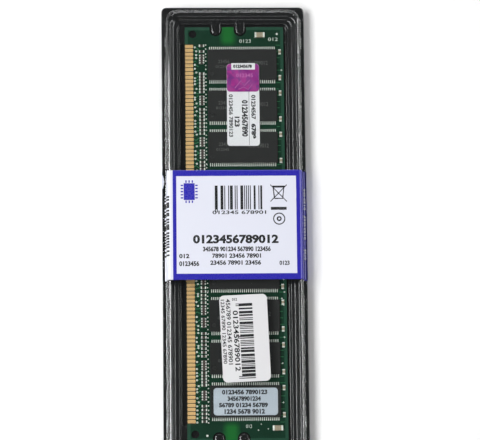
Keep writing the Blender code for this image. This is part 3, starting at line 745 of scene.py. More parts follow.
def resistor_glaze():
    """Glass glaze over a printed resistor: near black, brownish, with a wet sheen."""
    material, tree, shader, place = new_material("resistor_glazed")
    flow = add_node(tree, "ShaderNodeTexNoise", "Fac", {
        "Vector": place, "Scale": 1 / (0.5 * MM), "Detail": 2.0})
    tone = add_node(tree, "ShaderNodeMix", 2, {
        0: flow, 6: linear_colour("#1C1613"), 7: linear_colour("#3A2A20")},
        data_type="RGBA")
    normal = add_node(tree, "ShaderNodeBump", "Normal", {
        "Height": flow, "Distance": 0.02 * MM})
    connect(tree, shader, {"Base Color": tone, "IOR": 1.55, "Roughness": 0.28,
                           "Normal": normal})
    return material


def floor_paper(settings):
    """Backdrop paper, matt: a plain pale sweep."""
    material, tree, shader, place = new_material("backdrop_paper_matt")
    fibre = add_node(tree, "ShaderNodeTexNoise", "Fac", {
        "Vector": place, "Scale": 1 / (1.5 * MM), "Detail": 3.0})
    shade = add_node(tree, "ShaderNodeMath", "Value", {0: fibre, 1: 0.03},
                     operation="MULTIPLY")
    tone = add_node(tree, "ShaderNodeMix", 2, {
        0: shade, 6: opaque(settings.floor_colour), 7: (0.85, 0.85, 0.85, 1.0)},
        data_type="RGBA")
    connect(tree, shader, {"Base Color": tone, "Roughness": 0.9, "IOR": 1.3})
    return material


# ---- printing ------------------------------------------------------------------
def counting(count, start=0, gap=0):
    """Digits that simply count up, with a space after every few where gap is given."""
    text = ""
    for index in range(count):
        text += str((start + index) % 10)
        if gap and index % gap == gap - 1:
            text += " "
    return text.strip()


def digits_mesh(text, width, height, weight=0.0):
    """Flat digits fitted into a width and height in millimetres, about their middle."""
    curve = bpy.data.curves.new("digits", "FONT")
    curve.body = text
    curve.size = 10.0
    curve.offset = weight
    curve.resolution_u = 3
    carrier = bpy.data.objects.new("digits", curve)
    bpy.context.scene.collection.objects.link(carrier)
    graph = bpy.context.evaluated_depsgraph_get()
    mesh = bpy.data.meshes.new_from_object(carrier.evaluated_get(graph))
    bpy.data.objects.remove(carrier)
    bpy.data.curves.remove(curve)
    places = [vertex.co for vertex in mesh.vertices]
    low = [min(place[axis] for place in places) for axis in range(2)]
    high = [max(place[axis] for place in places) for axis in range(2)]
    scale = Matrix.Diagonal((width / (high[0] - low[0]), height / (high[1] - low[1]), 1.0, 1.0))
    middle = Vector(((low[0] + high[0]) / 2, (low[1] + high[1]) / 2, 0.0))
    mesh.transform(scale @ Matrix.Translation(-middle))
    return mesh


def print_digits(shape, text, low, high, turn=0.0, weight=0.0):
    """Print digits into the box between two corners, turned by quarter turns."""
    width = high[0] - low[0]
    height = high[1] - low[1]
    quarter = round(turn) % 2
    mesh = digits_mesh(text, height if quarter else width, width if quarter else height, weight)
    middle = Vector(((low[0] + high[0]) / 2, (low[1] + high[1]) / 2, 0.0))
    shape.add(mesh, Matrix.Translation(middle) @ Matrix.Rotation(math.pi / 2 * turn, 4, "Z"))
    bpy.data.meshes.remove(mesh)


def bar_spans(start, end, seed, thin, gaps=(1, 1, 2, 3)):
    """Starts and ends of a run of bars of mixed widths."""
    chance = random.Random(seed)
    spans = []
    place = start
    while place < end - thin:
        width = min(thin * chance.choice((1, 1, 2, 3)), end - place)
        spans.append((place, place + width))
        place += width + thin * chance.choice(gaps)
    return spans


def print_bars(shape, low, high, seed, upright=True, thin=0.3, gaps=(1, 1, 2, 3)):
    """Print a run of bars of mixed widths that fills the box between two corners."""
    axis = 0 if upright else 1
    other = 1 - axis
    for start, end in bar_spans(low[axis], high[axis], seed, thin, gaps):
        centre = [0.0, 0.0]
        size = [0.0, 0.0]
        centre[axis] = (start + end) / 2
        size[axis] = end - start
        centre[other] = (low[other] + high[other]) / 2
        size[other] = high[other] - low[other]
        shape.bar(centre[0], centre[1], size[0], size[1])


def wrap_bars(shape, path, spans):
    """Print bars that follow a path of (x, z), one for each span along Y."""
    for start, end in spans:
        rows = []
        for y in (start, end):
            rows.append([shape.shell.verts.new((x, y, z)) for x, z in path])
        for index in range(len(path) - 1):
            shape.shell.faces.new((rows[0][index], rows[0][index + 1],
                                   rows[1][index + 1], rows[1][index]))


def soften(stations, reaches, steps=5):
    """Round the turns of a run of stations, each by its own reach in millimetres."""
    rounded = [stations[0]]
    for index in range(1, len(stations) - 1):
        here = stations[index]
        ends = []
        for other in (stations[index - 1], stations[index + 1]):
            length = math.hypot(other[0] - here[0], other[3] - here[3])
            ends.append(here.lerp(other, min(0.5, reaches[index] / length)))
        for step in range(steps + 1):
            share = step / steps
            first = ends[0].lerp(here, share)
            last = here.lerp(ends[1], share)
            rounded.append(first.lerp(last, share))
    rounded.append(stations[-1])
    return rounded


def rings_of(stations, half_x, half_y):
    """Outlines for stations that give the insets along X and Y, the corner and the height."""
    rings = []
    for inset_x, inset_y, corner, height in stations:
        rings.append((rounded_rectangle(half_x - inset_x, half_y - inset_y, corner), height))
    return rings


def shift_path(path, distance):
    """A path of (x, z) moved sideways, to its left as it runs."""
    moved = []
    for index in range(len(path)):
        before = Vector(path[max(index - 1, 0)])
        after = Vector(path[min(index + 1, len(path) - 1)])
        run = (after - before).normalized()
        moved.append((path[index][0] - run.y * distance, path[index][1] + run.x * distance))
    return moved


# ---- pack ----------------------------------------------------------------------
TRAY_CUT_EDGE = 0.1     # rounding of the sheets' cut edges, in millimetres
LID_CUT_EDGE = 0.08
LID_CORNER_LEAN = 0.2   # how much a lid corner tightens towards the top
LID_FOOT_BEND = 0.2     # bend between the flange and the walls


def form_sheet(piece, thickness, cut_edge):
    """Give a formed skin its thickness inwards, round its cut edges and keep its faces flat."""
    add_modifier(piece, "Sheet", "SOLIDIFY", thickness=thickness, offset=-1.0)
    add_modifier(piece, "Cut edge", "BEVEL", width=cut_edge * MM, segments=2,
                 limit_method="ANGLE", angle_limit=math.radians(60))
    add_modifier(piece, "Flat faces", "WEIGHTED_NORMAL", keep_sharp=True)


def lid_stations(settings):
    """Stations of the lid's outer face, from its flange's edge to the flat top."""
    low, high = node_box("lid")
    flange = settings.lid_flange / MM
    wall = flange + settings.lid_draft / MM
    corner = settings.lid_corner / MM
    edge = settings.lid_edge / MM
    foot = low.z + settings.lid_sheet / MM
    stations = [
        Vector((0.0, 0.0, settings.rim_corner / MM, foot)),
        Vector((flange, flange, corner, foot)),
        Vector((wall, wall, corner - LID_CORNER_LEAN, high.z)),
        Vector((wall + 2 * edge, wall + 2 * edge, corner - edge, high.z)),
    ]
    return soften(stations, (0.0, LID_FOOT_BEND, edge, 0.0))


# Insets and drops of a lug's rounded top, from its wall to its flat crown, in millimetres.
LUG_CROWN = ((0.0, 0.5), (0.12, 0.18), (0.38, 0.04), (0.8, 0.0))


def tray_lug(half, root, tip, rise, end_sign, drops):
    """Rings of one lug, a tongue with a round tip that reaches in from the end wall."""
    rings = []
    for inset, height in drops:
        outline = [(half - inset, root)]
        outline += arc(0, tip + half, half - inset, 0, -180, 10)
        outline.append((inset - half, root))
        placed = [(rise + x, end_sign * y) for x, y in outline]
        if end_sign > 0:
            placed.reverse()
        rings.append((placed, height))
    return rings


class MEMORY_PACK_OT_tray(Operator):
    """Build the black tray with its rim, step, shelf, cavity, ledges and lugs"""

    bl_idname = "memory_pack.tray"
    bl_label = "Tray"

    def execute(self, context):
        settings = context.scene.memory_pack
        board = context.scene.memory_board
        low, high = node_box("tray")
        board_low, board_high = node_box("pcb")
        seat = node_box("dram_front_1")[0].z - board_high.z
        ledge_z = board_low.z - seat
        shelf_z = high.z - settings.step_drop / MM
        rim = settings.rim_width / MM
        step = rim + settings.step_run / MM
        shelf = step + settings.shelf_width / MM
        draft = settings.wall_draft / MM
        side = settings.ledge_side / MM
        end = side + settings.ledge_end / MM
        corner = settings.cavity_corner / MM
        floor_z = low.z + settings.tray_sheet / MM
        inner = corner * 2 / 3
        stations = [
            Vector((0.0, 0.0, settings.rim_corner / MM, high.z)),
            Vector((rim, rim, settings.rim_corner / MM + rim / 2, high.z)),
            Vector((step, step, corner + settings.shelf_width / MM / 2, shelf_z)),
            Vector((shelf, shelf, corner, shelf_z)),
            Vector((shelf + draft, shelf + draft, inner, ledge_z)),
            Vector((shelf + draft + side, shelf + draft + end, inner, ledge_z)),
            Vector((shelf + 2 * draft + side, shelf + 2 * draft + end, inner, floor_z)),
        ]
        fold = settings.tray_fold / MM
        shape = Shape()
        rings = rings_of(soften(stations, [fold] * len(stations)), high.x, high.y)
        shape.skin(rings, close_last=True)
        plastic = black_polystyrene(settings)
        tray = add_shape("tray_moulding", shape, plastic, "tray_body",
                         FORMED_SMOOTH, hidden=("tray",))
        form_sheet(tray, settings.tray_sheet, TRAY_CUT_EDGE)

        clear = settings.lug_clear / MM
        half = board.notch_width / MM / 2 - clear
        tip = board_high.y - board.notch_depth / MM + clear
        root = high.y - shelf + 0.2
        top = board_high.z + settings.lug_proud / MM
        profile = [(0.0, ledge_z)] + [(inset, top - drop) for inset, drop in LUG_CROWN]
        lugs = Shape()
        for rise in (board.notch_low / MM, board.notch_high / MM):
            for end_sign in (1, -1):
                lugs.skin(tray_lug(half, root, tip, board_low.x + rise, end_sign, profile),
                          close_last=True)
        add_shape("tray_lugs", lugs, plastic, "tray_body", LUG_SMOOTH,
                  hidden=("tray",))
        return {"FINISHED"}


# Snap marks on the lid's walls, in millimetres.
SNAP_FROM_END = 11.5
SNAP_DEPTH = 0.45
SNAP_HALF = 1.6
SNAP_LOW = 0.6
SNAP_HIGH = 1.7


class MEMORY_PACK_OT_lid(Operator):
    """Build the clear lid with its flange, drafted walls, rounded edges and snap marks"""

    bl_idname = "memory_pack.lid"
    bl_label = "Lid"

    def execute(self, context):
        settings = context.scene.memory_pack
        low, high = node_box("lid")
        shape = Shape()
        shape.skin(rings_of(lid_stations(settings), high.x, high.y), close_last=True)
        plastic = clear_sheet(settings)
        lid = add_shape("lid_moulding", shape, plastic, "lid_body",
                        FORMED_SMOOTH, hidden=("lid",))
        form_sheet(lid, settings.lid_sheet, LID_CUT_EDGE)

        snaps = Shape()
        foot = low.z + settings.lid_sheet / MM
        wall_x = high.x - (settings.lid_flange + settings.lid_draft / 2) / MM
        for side in (1, -1):
            for end in (1, -1):
                middle_y = end * (high.y - SNAP_FROM_END)
                near = (side * wall_x, side * (wall_x + SNAP_DEPTH))
                snaps.block((min(near), middle_y - SNAP_HALF, foot + SNAP_LOW),
                            (max(near), middle_y + SNAP_HALF, foot + SNAP_HIGH), 0.2, 3)
        add_shape("lid_snaps", snaps, plastic, "lid_body", LUG_SMOOTH)
        return {"FINISHED"}


# ---- labels --------------------------------------------------------------------
RIBBON_STEP = 0.35     # along the torn edge, in millimetres
PANEL_HALF_X = 18.98
PANEL_SHIFT = 0.07     # from the board's middle


def torn_start(settings, chance, y, top):
    """How far along its path the seal label starts at one place on its torn left edge."""
    length = settings.torn_length / MM
    share = min(max((y - top + length) / length, 0.0), 1.0)
    ragged = chance.uniform(-0.12, 0.12) if share else chance.uniform(0.0, 0.03)
    return max(0.0, settings.torn_depth / MM * share ** 0.7 + ragged)


def seal_ribbon(settings, path, low, high):
    """A sheet that follows a path across the pack, with a torn edge where it starts."""
    lengths = [0.0]
    for before, after in zip(path, path[1:]):
        lengths.append(lengths[-1] + math.dist(before, after))
    chance = random.Random(5)
    rows = round((high.y - low.y) / RIBBON_STEP)
    shape = Shape()
    grid = []
    for row in range(rows + 1):
        y = low.y + (high.y - low.y) * row / rows
        start = torn_start(settings, chance, y, high.y)
        line = []
        for index, length in enumerate(lengths):
            place = path[index]
            if length < start:
                after = next(item for item, far in enumerate(lengths) if far >= start)
                share = (start - lengths[after - 1]) / (lengths[after] - lengths[after - 1])
                place = Vector(path[after - 1]).lerp(Vector(path[after]), share)
            line.append(shape.shell.verts.new((place[0], y, place[1])))
        grid.append(line)
    for lower, upper in zip(grid, grid[1:]):
        for index in range(len(path) - 1):
            shape.shell.faces.new((lower[index], lower[index + 1], upper[index + 1],
                                   upper[index]))
    bmesh.ops.dissolve_degenerate(shape.shell, dist=1e-5, edges=shape.shell.edges)
    return shape.mesh("seal_label", 40)


def torn_sliver(top, sheet):
    """A ragged strip of the seal label left behind on the tray's rim at the torn corner."""
    chance = random.Random(9)
    low, high = node_box("seal_label_back")
    count = 13
    outer = []
    inner = []
    for step in range(count):
        y = top - 0.9 - step * 0.36
        width = 0.55 * math.sin(math.pi * (step + 1) / (count + 1)) + chance.uniform(0.0, 0.16)
        outer.append((low.x + 0.02, y))
        inner.append((low.x + 0.14 + width, y))
    sliver = Shape()
    sliver.prism(outer + list(reversed(inner)), high.z + 0.02, high.z + 0.02 + sheet)
    return sliver


def seal_panel_print(black, blue):
    """Everything printed on the white panel, about the panel's middle."""
    print_bars(black, (-6.8, 4.8), (9.0, 12.5), 11)
    for x in (-6.65, -6.05):
        black.bar(x, 8.2, 0.3, 8.6)
    print_digits(black, counting(12, 0, 6), (-7.6, 3.3), (9.4, 4.5), weight=FINE_WEIGHT)
    print_digits(black, counting(13), (-13.8, -6.1), (13.2, -3.2), weight=FIRM_WEIGHT)
    print_digits(black, counting(24, 3, 6), (-10.7, -8.6), (10.7, -7.0), weight=FIRM_WEIGHT)
    print_digits(black, counting(15, 7, 5), (-7.8, -10.7), (7.6, -9.2), weight=PLAIN_WEIGHT)
    print_digits(black, counting(15, 2, 5), (-8.4, -12.9), (7.6, -11.4), weight=PLAIN_WEIGHT)
    print_digits(black, counting(3), (-18.2, -10.7), (-15.0, -9.3), weight=PLAIN_WEIGHT)
    print_digits(black, counting(7), (-18.2, -13.2), (-11.9, -11.6), weight=PLAIN_WEIGHT)
    print_digits(black, counting(4), (13.4, -13.0), (16.6, -11.6), weight=PLAIN_WEIGHT)
    black.bar(13.4, 5.1, 5.0, 0.95)
    for outer, inner in ((1.95, 1.6), (0.8, 0.35)):
        black.ring(13.5, 1.8, outer, inner)
    corners = [(10.8, 7.3), (16.0, 7.3), (16.0, 12.7), (10.8, 12.7)]
    black.line([corners[0], corners[2]], 0.28)
    black.line([corners[1], corners[3]], 0.28)
    black.line([(12.1, 8.3), (14.7, 8.3), (15.1, 11.9), (11.7, 11.9), (12.1, 8.3)], 0.4)
    black.bar(13.4, 12.1, 3.9, 0.6)

    blue.bar(-14.9, 10.6, 3.5, 5.4)
    for index in range(5):
        for x in (-17.2, -12.6):
            blue.bar(x, 8.6 + index, 0.8, 0.42)
    for x in (-15.9, -14.9, -13.9):
        for y in (13.85, 7.35):
            blue.bar(x, y, 0.42, 0.8)


class MEMORY_PACK_OT_seal(Operator):
    """Build the printed seal label over the lid and round the tray, torn at one corner"""

    bl_idname = "memory_pack.seal"
    bl_label = "Seal label"

    def execute(self, context):
        settings = context.scene.memory_label
        pack = context.scene.memory_pack
        low, high = node_box("seal_label_front")
        lid_high = node_box("lid")[1]
        board_low, board_high = node_box("pcb")
        middle = Vector(((board_low.x + board_high.x) / 2 + PANEL_SHIFT, (low.y + high.y) / 2))
        paper = seal_paper(settings, low, high, middle.x, PANEL_HALF_X)
        gap = high.z - lid_high.z - settings.sheet / MM

        right = [(lid_high.x - station[0], station[3]) for station in lid_stations(pack)[:-1]]
        left = [(-x, height) for x, height in right]
        left[0] = (low.x, left[0][1])
        path = shift_path(left + list(reversed(right)), gap)
        label = add_piece("seal_label_over_lid", seal_ribbon(settings, path, low, high), paper,
                          "lid_body", hidden=("seal_label_front",))
        add_modifier(label, "Sheet", "SOLIDIFY", thickness=settings.sheet, offset=1.0)
        add_modifier(label, "Flat faces", "WEIGHTED_NORMAL", keep_sharp=True)
        paint_node("seal_label_back", paper)

        sliver = torn_sliver(high.y, settings.sheet / MM)
        add_shape("seal_torn_sliver", sliver, paper, "tray_body")

        black_ink = printed_ink("ink_black_printed", settings.ink_black)
        blue_ink = printed_ink("ink_blue_printed", settings.ink_blue)
        black = Shape()
        blue = Shape()
        seal_panel_print(black, blue)
        lift = Matrix.Translation((middle.x * MM, middle.y * MM,
                                   high.z * MM + settings.ink_lift))
        add_shape("seal_print_black", black, black_ink, "lid_body", matrix=lift)
        add_shape("seal_print_blue", blue, blue_ink, "lid_body", matrix=lift)

        # The bars run over the label's left wall only.
        side_bars = Shape()
        cover = shift_path(path, (settings.sheet + settings.ink_lift) / MM)
        cover = [(x, z) for x, z in cover if low.x - 0.1 < x < low.x + 1.75]
        spans = bar_spans(middle.y - 10.0, middle.y + 10.2, 31, 0.62, (0.4, 0.5, 0.8, 1.1))
        wrap_bars(side_bars, cover, spans)
        add_shape("seal_print_side", side_bars, black_ink, "lid_body")

        white_ink = printed_ink("ink_white_printed", settings.paper)
        white = Shape()
        flange_x = lid_high.x
        for start, end in ((5.0, 12.0), (-4.5, 3.5), (-11.0, -7.5)):
            print_digits(white, counting(round(end - start)),
                         (flange_x - 0.62, middle.y + start),
                         (flange_x - 0.06, middle.y + end), 1, BOLD_WEIGHT)
        flange_z = path[0][1] + settings.sheet / MM
        lift = Matrix.Translation((0.0, 0.0, flange_z * MM + settings.ink_lift))
        add_shape("seal_print_white", white, white_ink, "lid_body", matrix=lift)
        return {"FINISHED"}


PRICE_SHADE = 0.78     # the price sticker's paper against the other papers
FOIL_STRIP_SHEET = 0.02
FOIL_STRIP_PLACE = (0.1, 3.75)


def sticker_frame(node, lift, turn=0.0):
    """Middle of a sticker's upper face, raised by the ink's lift, as a matrix in metres."""
    low, high = node_box(node)
    place = Vector(((low.x + high.x) / 2, (low.y + high.y) / 2, high.z)) * MM
    return Matrix.Translation(place + Vector((0, 0, lift))) @ Matrix.Rotation(turn, 4, "Z")


class MEMORY_PACK_OT_stickers(Operator):
    """Print the price, warranty and part stickers and finish the foil patch"""

    bl_idname = "memory_pack.stickers"
    bl_label = "Stickers"

    def execute(self, context):
        settings = context.scene.memory_label
        price_paper = sticker_paper(settings, "coated_paper_thermal_price", PRICE_SHADE)
        paper = sticker_paper(settings, "coated_paper_thermal_warranty", 1.0)
        ink = printed_ink("ink_black_thermal", settings.ink_black)
        paint_node("price_sticker", price_paper)
        paint_node("warranty_sticker", paper)
        paint_node("part_sticker", silver_film(settings))
        paint_node("foil_patch", purple_foil(settings))

        price = Shape()
        print_bars(price, (-1.5, -12.7), (2.8, 11.0), 21, upright=False, thin=0.27,
                   gaps=(0.8, 0.8, 1.0, 1.8))
        # The longer pairs of bars at both ends and in the middle.
        for first_y in (10.85, 0.6, -12.0):
            for y in (first_y, first_y - 0.55):
                price.bar(0.15, y, 5.2, 0.26)
        print_digits(price, counting(13), (-3.5, -10.3), (-1.8, 8.8), -1, 0.25)
        print_digits(price, counting(18, 4, 6), (-5.5, -8.1), (-4.1, 12.6), -1, FINE_WEIGHT)
        print_digits(price, counting(20, 1, 5), (-7.1, -7.8), (-5.9, 12.4), -1, FINE_WEIGHT)
        print_digits(price, counting(3), (-3.5, 11.9), (-1.9, 12.8), weight=0.3)
        lift = sticker_frame("price_sticker", settings.ink_lift, settings.price_turn)
        add_shape("price_print", price, ink, "lid_body", matrix=lift)

        warranty = Shape()
        print_digits(warranty, counting(14, 0, 7), (-4.6, -10.5), (-3.3, 3.4), -1, 0.3)
        print_digits(warranty, counting(3, 1), (-2.8, -7.2), (-1.2, -3.9), -1, PLAIN_WEIGHT)
        print_digits(warranty, counting(11), (-0.5, -10.4), (1.5, 1.5), -1, FIRM_WEIGHT)
        warranty.bar(1.85, -4.45, 0.12, 17.6)
        print_digits(warranty, counting(8), (2.55, -4.8), (4.0, 3.2), -1, PLAIN_WEIGHT)
        print_digits(warranty, counting(4, 6), (2.5, -11.1), (4.05, -6.2), -1, BOLD_WEIGHT)
        lift = sticker_frame("warranty_sticker", settings.ink_lift)
        add_shape("warranty_print", warranty, ink, "module_body", matrix=lift)

        strip = Shape()
        strip.prism(rounded_rectangle(3.8, 1.05, 0.15, 3), 0.0, FOIL_STRIP_SHEET)
        foil_lift = sticker_frame("foil_patch", settings.ink_lift)
        lift = foil_lift @ Matrix.Translation((*[place * MM for place in FOIL_STRIP_PLACE], 0.0))
        add_shape("foil_strip", strip, paper, "module_body", matrix=lift)
        emboss = Shape()
        print_digits(emboss, counting(6), (-2.2, 0.2), (3.2, 1.4), weight=FINE_WEIGHT)
        emboss.line([(-2.6, -3.4), (-0.6, -0.9), (0.4, -2.6), (2.2, -0.7)], 0.22)
        emboss.line([(-1.4, -3.8), (0.2, -3.0), (1.6, -3.9), (3.0, -2.2)], 0.16)
        pressed = printed_ink("ink_pink_foil_pressed", settings.foil_pink_and_painted_sheen)
        add_shape("foil_emboss", emboss, pressed, "module_body",
                  matrix=foil_lift)
        digits = Shape()
        print_digits(digits, counting(9), (-3.2, -0.55), (2.8, 0.6), weight=BOLD_WEIGHT)
        lift = lift @ Matrix.Translation((0.0, 0.0, FOIL_STRIP_SHEET * MM + settings.ink_lift))
        add_shape("foil_strip_print", digits, ink, "module_body", matrix=lift)

        part = Shape()
        print_digits(part, counting(14, 0, 7), (-7.45, 2.2), (6.8, 3.75), weight=0.5)
        print_digits(part, counting(12, 3), (-5.7, 0.15), (4.75, 1.7), weight=0.5)
        print_digits(part, counting(15, 5, 5), (-8.4, -1.85), (6.95, -0.35), weight=0.5)
        print_digits(part, counting(12, 1, 4), (-6.7, -3.9), (6.0, -2.3), weight=0.5)
        lift = sticker_frame("part_sticker", settings.ink_lift)
        add_shape("part_print", part, ink, "module_body", matrix=lift)
        return {"FINISHED"}


# ---- board ---------------------------------------------------------------------
def contact_places(board, node):
    """Middle of each contact along Y in one row."""
    low, high = node_box(node)
    width = board.contact_width / MM
    pitch = board.contact_pitch / MM
    count = round((high.y - low.y - width) / pitch) + 1
    first = (low.y + high.y) / 2 - (count - 1) * pitch / 2
    return [first + index * pitch for index in range(count)]


END_MARGIN = 6.0        # between the board's ends and the rows of holes and stubs
COLUMN_HOLES = 92
STUBS = 60
PRINT_LIFT = 0.008      # of the marks above the board's face
TRACK_LIFT = 0.006
HOLE_LIFT = 0.004       # of the rings above the tracks
PAD_HALF = 0.16
TARGET_RADIUS = 0.34
WINDOW_END = 5.2        # between the board's ends and the patch without copper
CHANCE_SEEDS = {"front": 3, "back": 4}


def spread(half, count):
    """Places along Y, from one end of a span to the other."""
    return [half - 2 * half * index / (count - 1) for index in range(count)]


def contact_tracks(board, side, column_x, tracks, holes, chance):
    """Tracks that leave each contact, most with a plated hole and a run to the resistors."""
    width = board.trace_width / MM
    for row in ROW_NAMES:
        node = f"contacts_{side}_{row}"
        start_x = node_box(node)[1].x
        for y in contact_places(board, node):
            hole_y = y + chance.choice((-0.3, 0.0, 0.3))
            hole_x = start_x + chance.choice((0.5, 0.55, 1.0))
            tracks.line([(start_x - 0.2, y), (start_x + 0.25, y), (hole_x, hole_y)], width)
            if chance.random() < 0.9:
                holes.ring(hole_x, hole_y, board.via_diameter / MM / 2, 0.1, HOLE_LIFT, 10)
            if chance.random() < 0.75:
                shift = chance.choice((-0.55, -0.3, 0.3, 0.55))
                tracks.line([(hole_x, hole_y), (hole_x + 0.35, hole_y),
                             (hole_x + 0.35 + abs(shift), hole_y + shift),
                             (column_x - 1.0, hole_y + shift)], width)


def plain_edge_tracks(start_x, span, tracks, holes, chance):
    """Short stubs beside the chips on the board's plain edge, some ending in a hole."""
    for y in spread(span, STUBS):
        end_x = start_x + chance.uniform(0.3, 1.2)
        tracks.line([(start_x - 0.5, y), (end_x, y)], 0.16)
        if chance.random() < 0.35:
            holes.ring(end_x, y, 0.24, 0.08, HOLE_LIFT, 8)


def lead_pads(board, chips, face_z, up):
    """Tinned pads under the leads of every chip place, the empty middle one too."""
    low, high = node_box(chips[0])
    toe = (high.y - low.y) / 2
    places = [node_box(name) for name in chips]
    middles = [(item[0].y + item[1].y) / 2 for item in places]
    middles.append(0.0)
    ends = sorted((face_z + up * 0.002, face_z + up * 0.026))
    pads = Shape()
    for middle_y in middles:
        for offset in lead_offsets(board):
            x = (low.x + high.x) / 2 + offset
            for sign in (1, -1):
                near = middle_y + sign * (toe - 0.6)
                far = middle_y + sign * (toe + 0.15)
                pads.block((x - PAD_HALF, min(near, far), ends[0]),
                           (x + PAD_HALF, max(near, far), ends[1]))
    return pads


def lead_offsets(board):
    """Place of each lead along its row, from the row's middle."""
    middle = (board.leads_per_side - 1) / 2
    return [(index - middle) * board.lead_pitch / MM for index in range(board.leads_per_side)]


def board_print(middle_x):
    """White digits and dots on the board's front."""
    printing = Shape()
    print_digits(printing, counting(4), (middle_x + 1.7, 61.5), (middle_x + 5.4, 62.6))
    print_digits(printing, counting(3), (middle_x + 11.0, 62.1), (middle_x + 14.1, 63.2))
    low, high = node_box("end_capacitor_low")
    mark = (low + high) / 2
    for offset_x, offset_y, radius in ((-6.1, -0.6, 0.2), (-5.2, 1.3, 0.16), (-3.0, -0.2, 0.16)):
        printing.ring(mark.x + offset_x, mark.y + offset_y, radius, 0.0, 0.0, 8)
    print_digits(printing, counting(3), (mark.x - 10.0, mark.y + 0.1),
                 (mark.x - 8.1, mark.y + 1.2))
    for name in FRONT_CHIPS:
        corner = node_box(name)[0]
        printing.ring(corner.x - 0.4, corner.y + 0.35, 0.16, 0.0, 0.0, 8)
    return printing


class MEMORY_PACK_OT_board(Operator):
    """Finish the board and lay its tracks, plated holes, pads, targets and printed marks"""

    bl_idname = "memory_pack.board"
    bl_label = "Board"

    def execute(self, context):
        board = context.scene.memory_board
        low, high = node_box("pcb")
        notch_x = low.x + (board.notch_low + board.notch_high) / 2 / MM
        half = (board.notch_high - board.notch_low - board.notch_width) / 2 / MM
        paint_node("pcb", solder_mask(board, low, high, notch_x, half, high.y - WINDOW_END))
        track_finish = masked_trace(board)
        tin = shared("tin_reflowed", tin_plate)
        array_low, array_high = node_box("resistor_array_1")
        column_x = (array_low.x + array_high.x) / 2
        plain_x = node_box(FRONT_CHIPS[0])[1].x + 0.35
        span = high.y - END_MARGIN
        for side, face_z, up, chips in (("front", high.z, 1, FRONT_CHIPS),
                                        ("back", low.z, -1, BACK_CHIPS)):
            chance = random.Random(CHANCE_SEEDS[side])
            tracks = Shape()
            holes = Shape()
            contact_tracks(board, side, column_x, tracks, holes, chance)
            for y in spread(span, COLUMN_HOLES):
                holes.ring(column_x + 1.3, y + chance.uniform(-0.2, 0.2), 0.22, 0.06,
                           HOLE_LIFT, 8)
            plain_edge_tracks(plain_x, span, tracks, holes, chance)
            lift = Matrix.Translation((0, 0, (face_z + up * TRACK_LIFT) * MM))
            add_shape(f"board_tracks_{side}", tracks, track_finish, "module_body",
                      matrix=lift)
            add_shape(f"board_plated_holes_{side}", holes, tin, "module_body",
                      matrix=lift)
            add_shape(f"board_pads_{side}", lead_pads(board, chips, face_z, up), tin,
                      "module_body")

        middle_x = (low.x + high.x) / 2
        lift = Matrix.Translation((0, 0, (high.z + PRINT_LIFT) * MM))
        marks = Shape()
        for offset_x, y in ((13.8, 64.4), (-9.6, -64.8)):
            marks.ring(middle_x + offset_x, y, TARGET_RADIUS, 0.0)
        add_shape("board_targets", marks, tin, "module_body", matrix=lift)
        ink = printed_ink("ink_white_screen_printed", board.printing)
        add_shape("board_printing", board_print(middle_x), ink, "module_body",
                  matrix=lift)
        return {"FINISHED"}


EDGE_GAP = 0.02         # between the board's edge and the plating
STUB_HALF = 0.12        # half width of the stub that joins a contact to the edge


class MEMORY_PACK_OT_contacts(Operator):
    """Build the separate gold contacts on both faces"""

    bl_idname = "memory_pack.contacts"
    bl_label = "Contacts"

    def execute(self, context):
        board = context.scene.memory_board
        gold = gold_plate(board)
        laminate = bare_laminate(board)
        board_low, board_high = node_box("pcb")
        edge_x = board_low.x
        half = board.contact_width / MM / 2
        corner = board.contact_corner / MM
        for side in ("front", "back"):
            for row in ROW_NAMES:
                node = f"contacts_{side}_{row}"
                low, high = node_box(node)
                shape = Shape()
                for y in contact_places(board, node):
                    outline = [(low.x, y - half), (high.x - corner, y - half)]
                    outline += arc(high.x - corner, y - half + corner, corner, -90, 0, 3)[1:]
                    outline += arc(high.x - corner, y + half - corner, corner, 0, 90, 3)
                    outline.append((low.x, y + half))
                    shape.prism(outline, low.z, high.z)
                    shape.block((edge_x + EDGE_GAP, y - STUB_HALF, low.z),
                                (low.x + EDGE_GAP, y + STUB_HALF, high.z - 0.015))
                add_shape(f"gold_{node}", shape, gold, "module_body",
                          hidden=(node,))
                window = Shape()
                if side == "front":
                    span = (board_high.z + 0.002, board_high.z + 0.01)
                else:
                    span = (board_low.z - 0.01, board_low.z - 0.002)
                window.block((edge_x + EDGE_GAP, low.y - 0.2, span[0]),
                             (high.x + 0.12, high.y + 0.2, span[1]))
                add_shape(f"laminate_{side}_{row}", window, laminate, "module_body")
        return {"FINISHED"}


CHIP_CORNER = 0.2       # a chip body's shape and its dimple, in millimetres
DIMPLE_DEPTH = 0.06
DIMPLE_FROM_SIDE = 0.6
DIMPLE_FROM_LEADS = 1.3
DIMPLE_STEPS = 24
LEAD_SHEET = 0.13


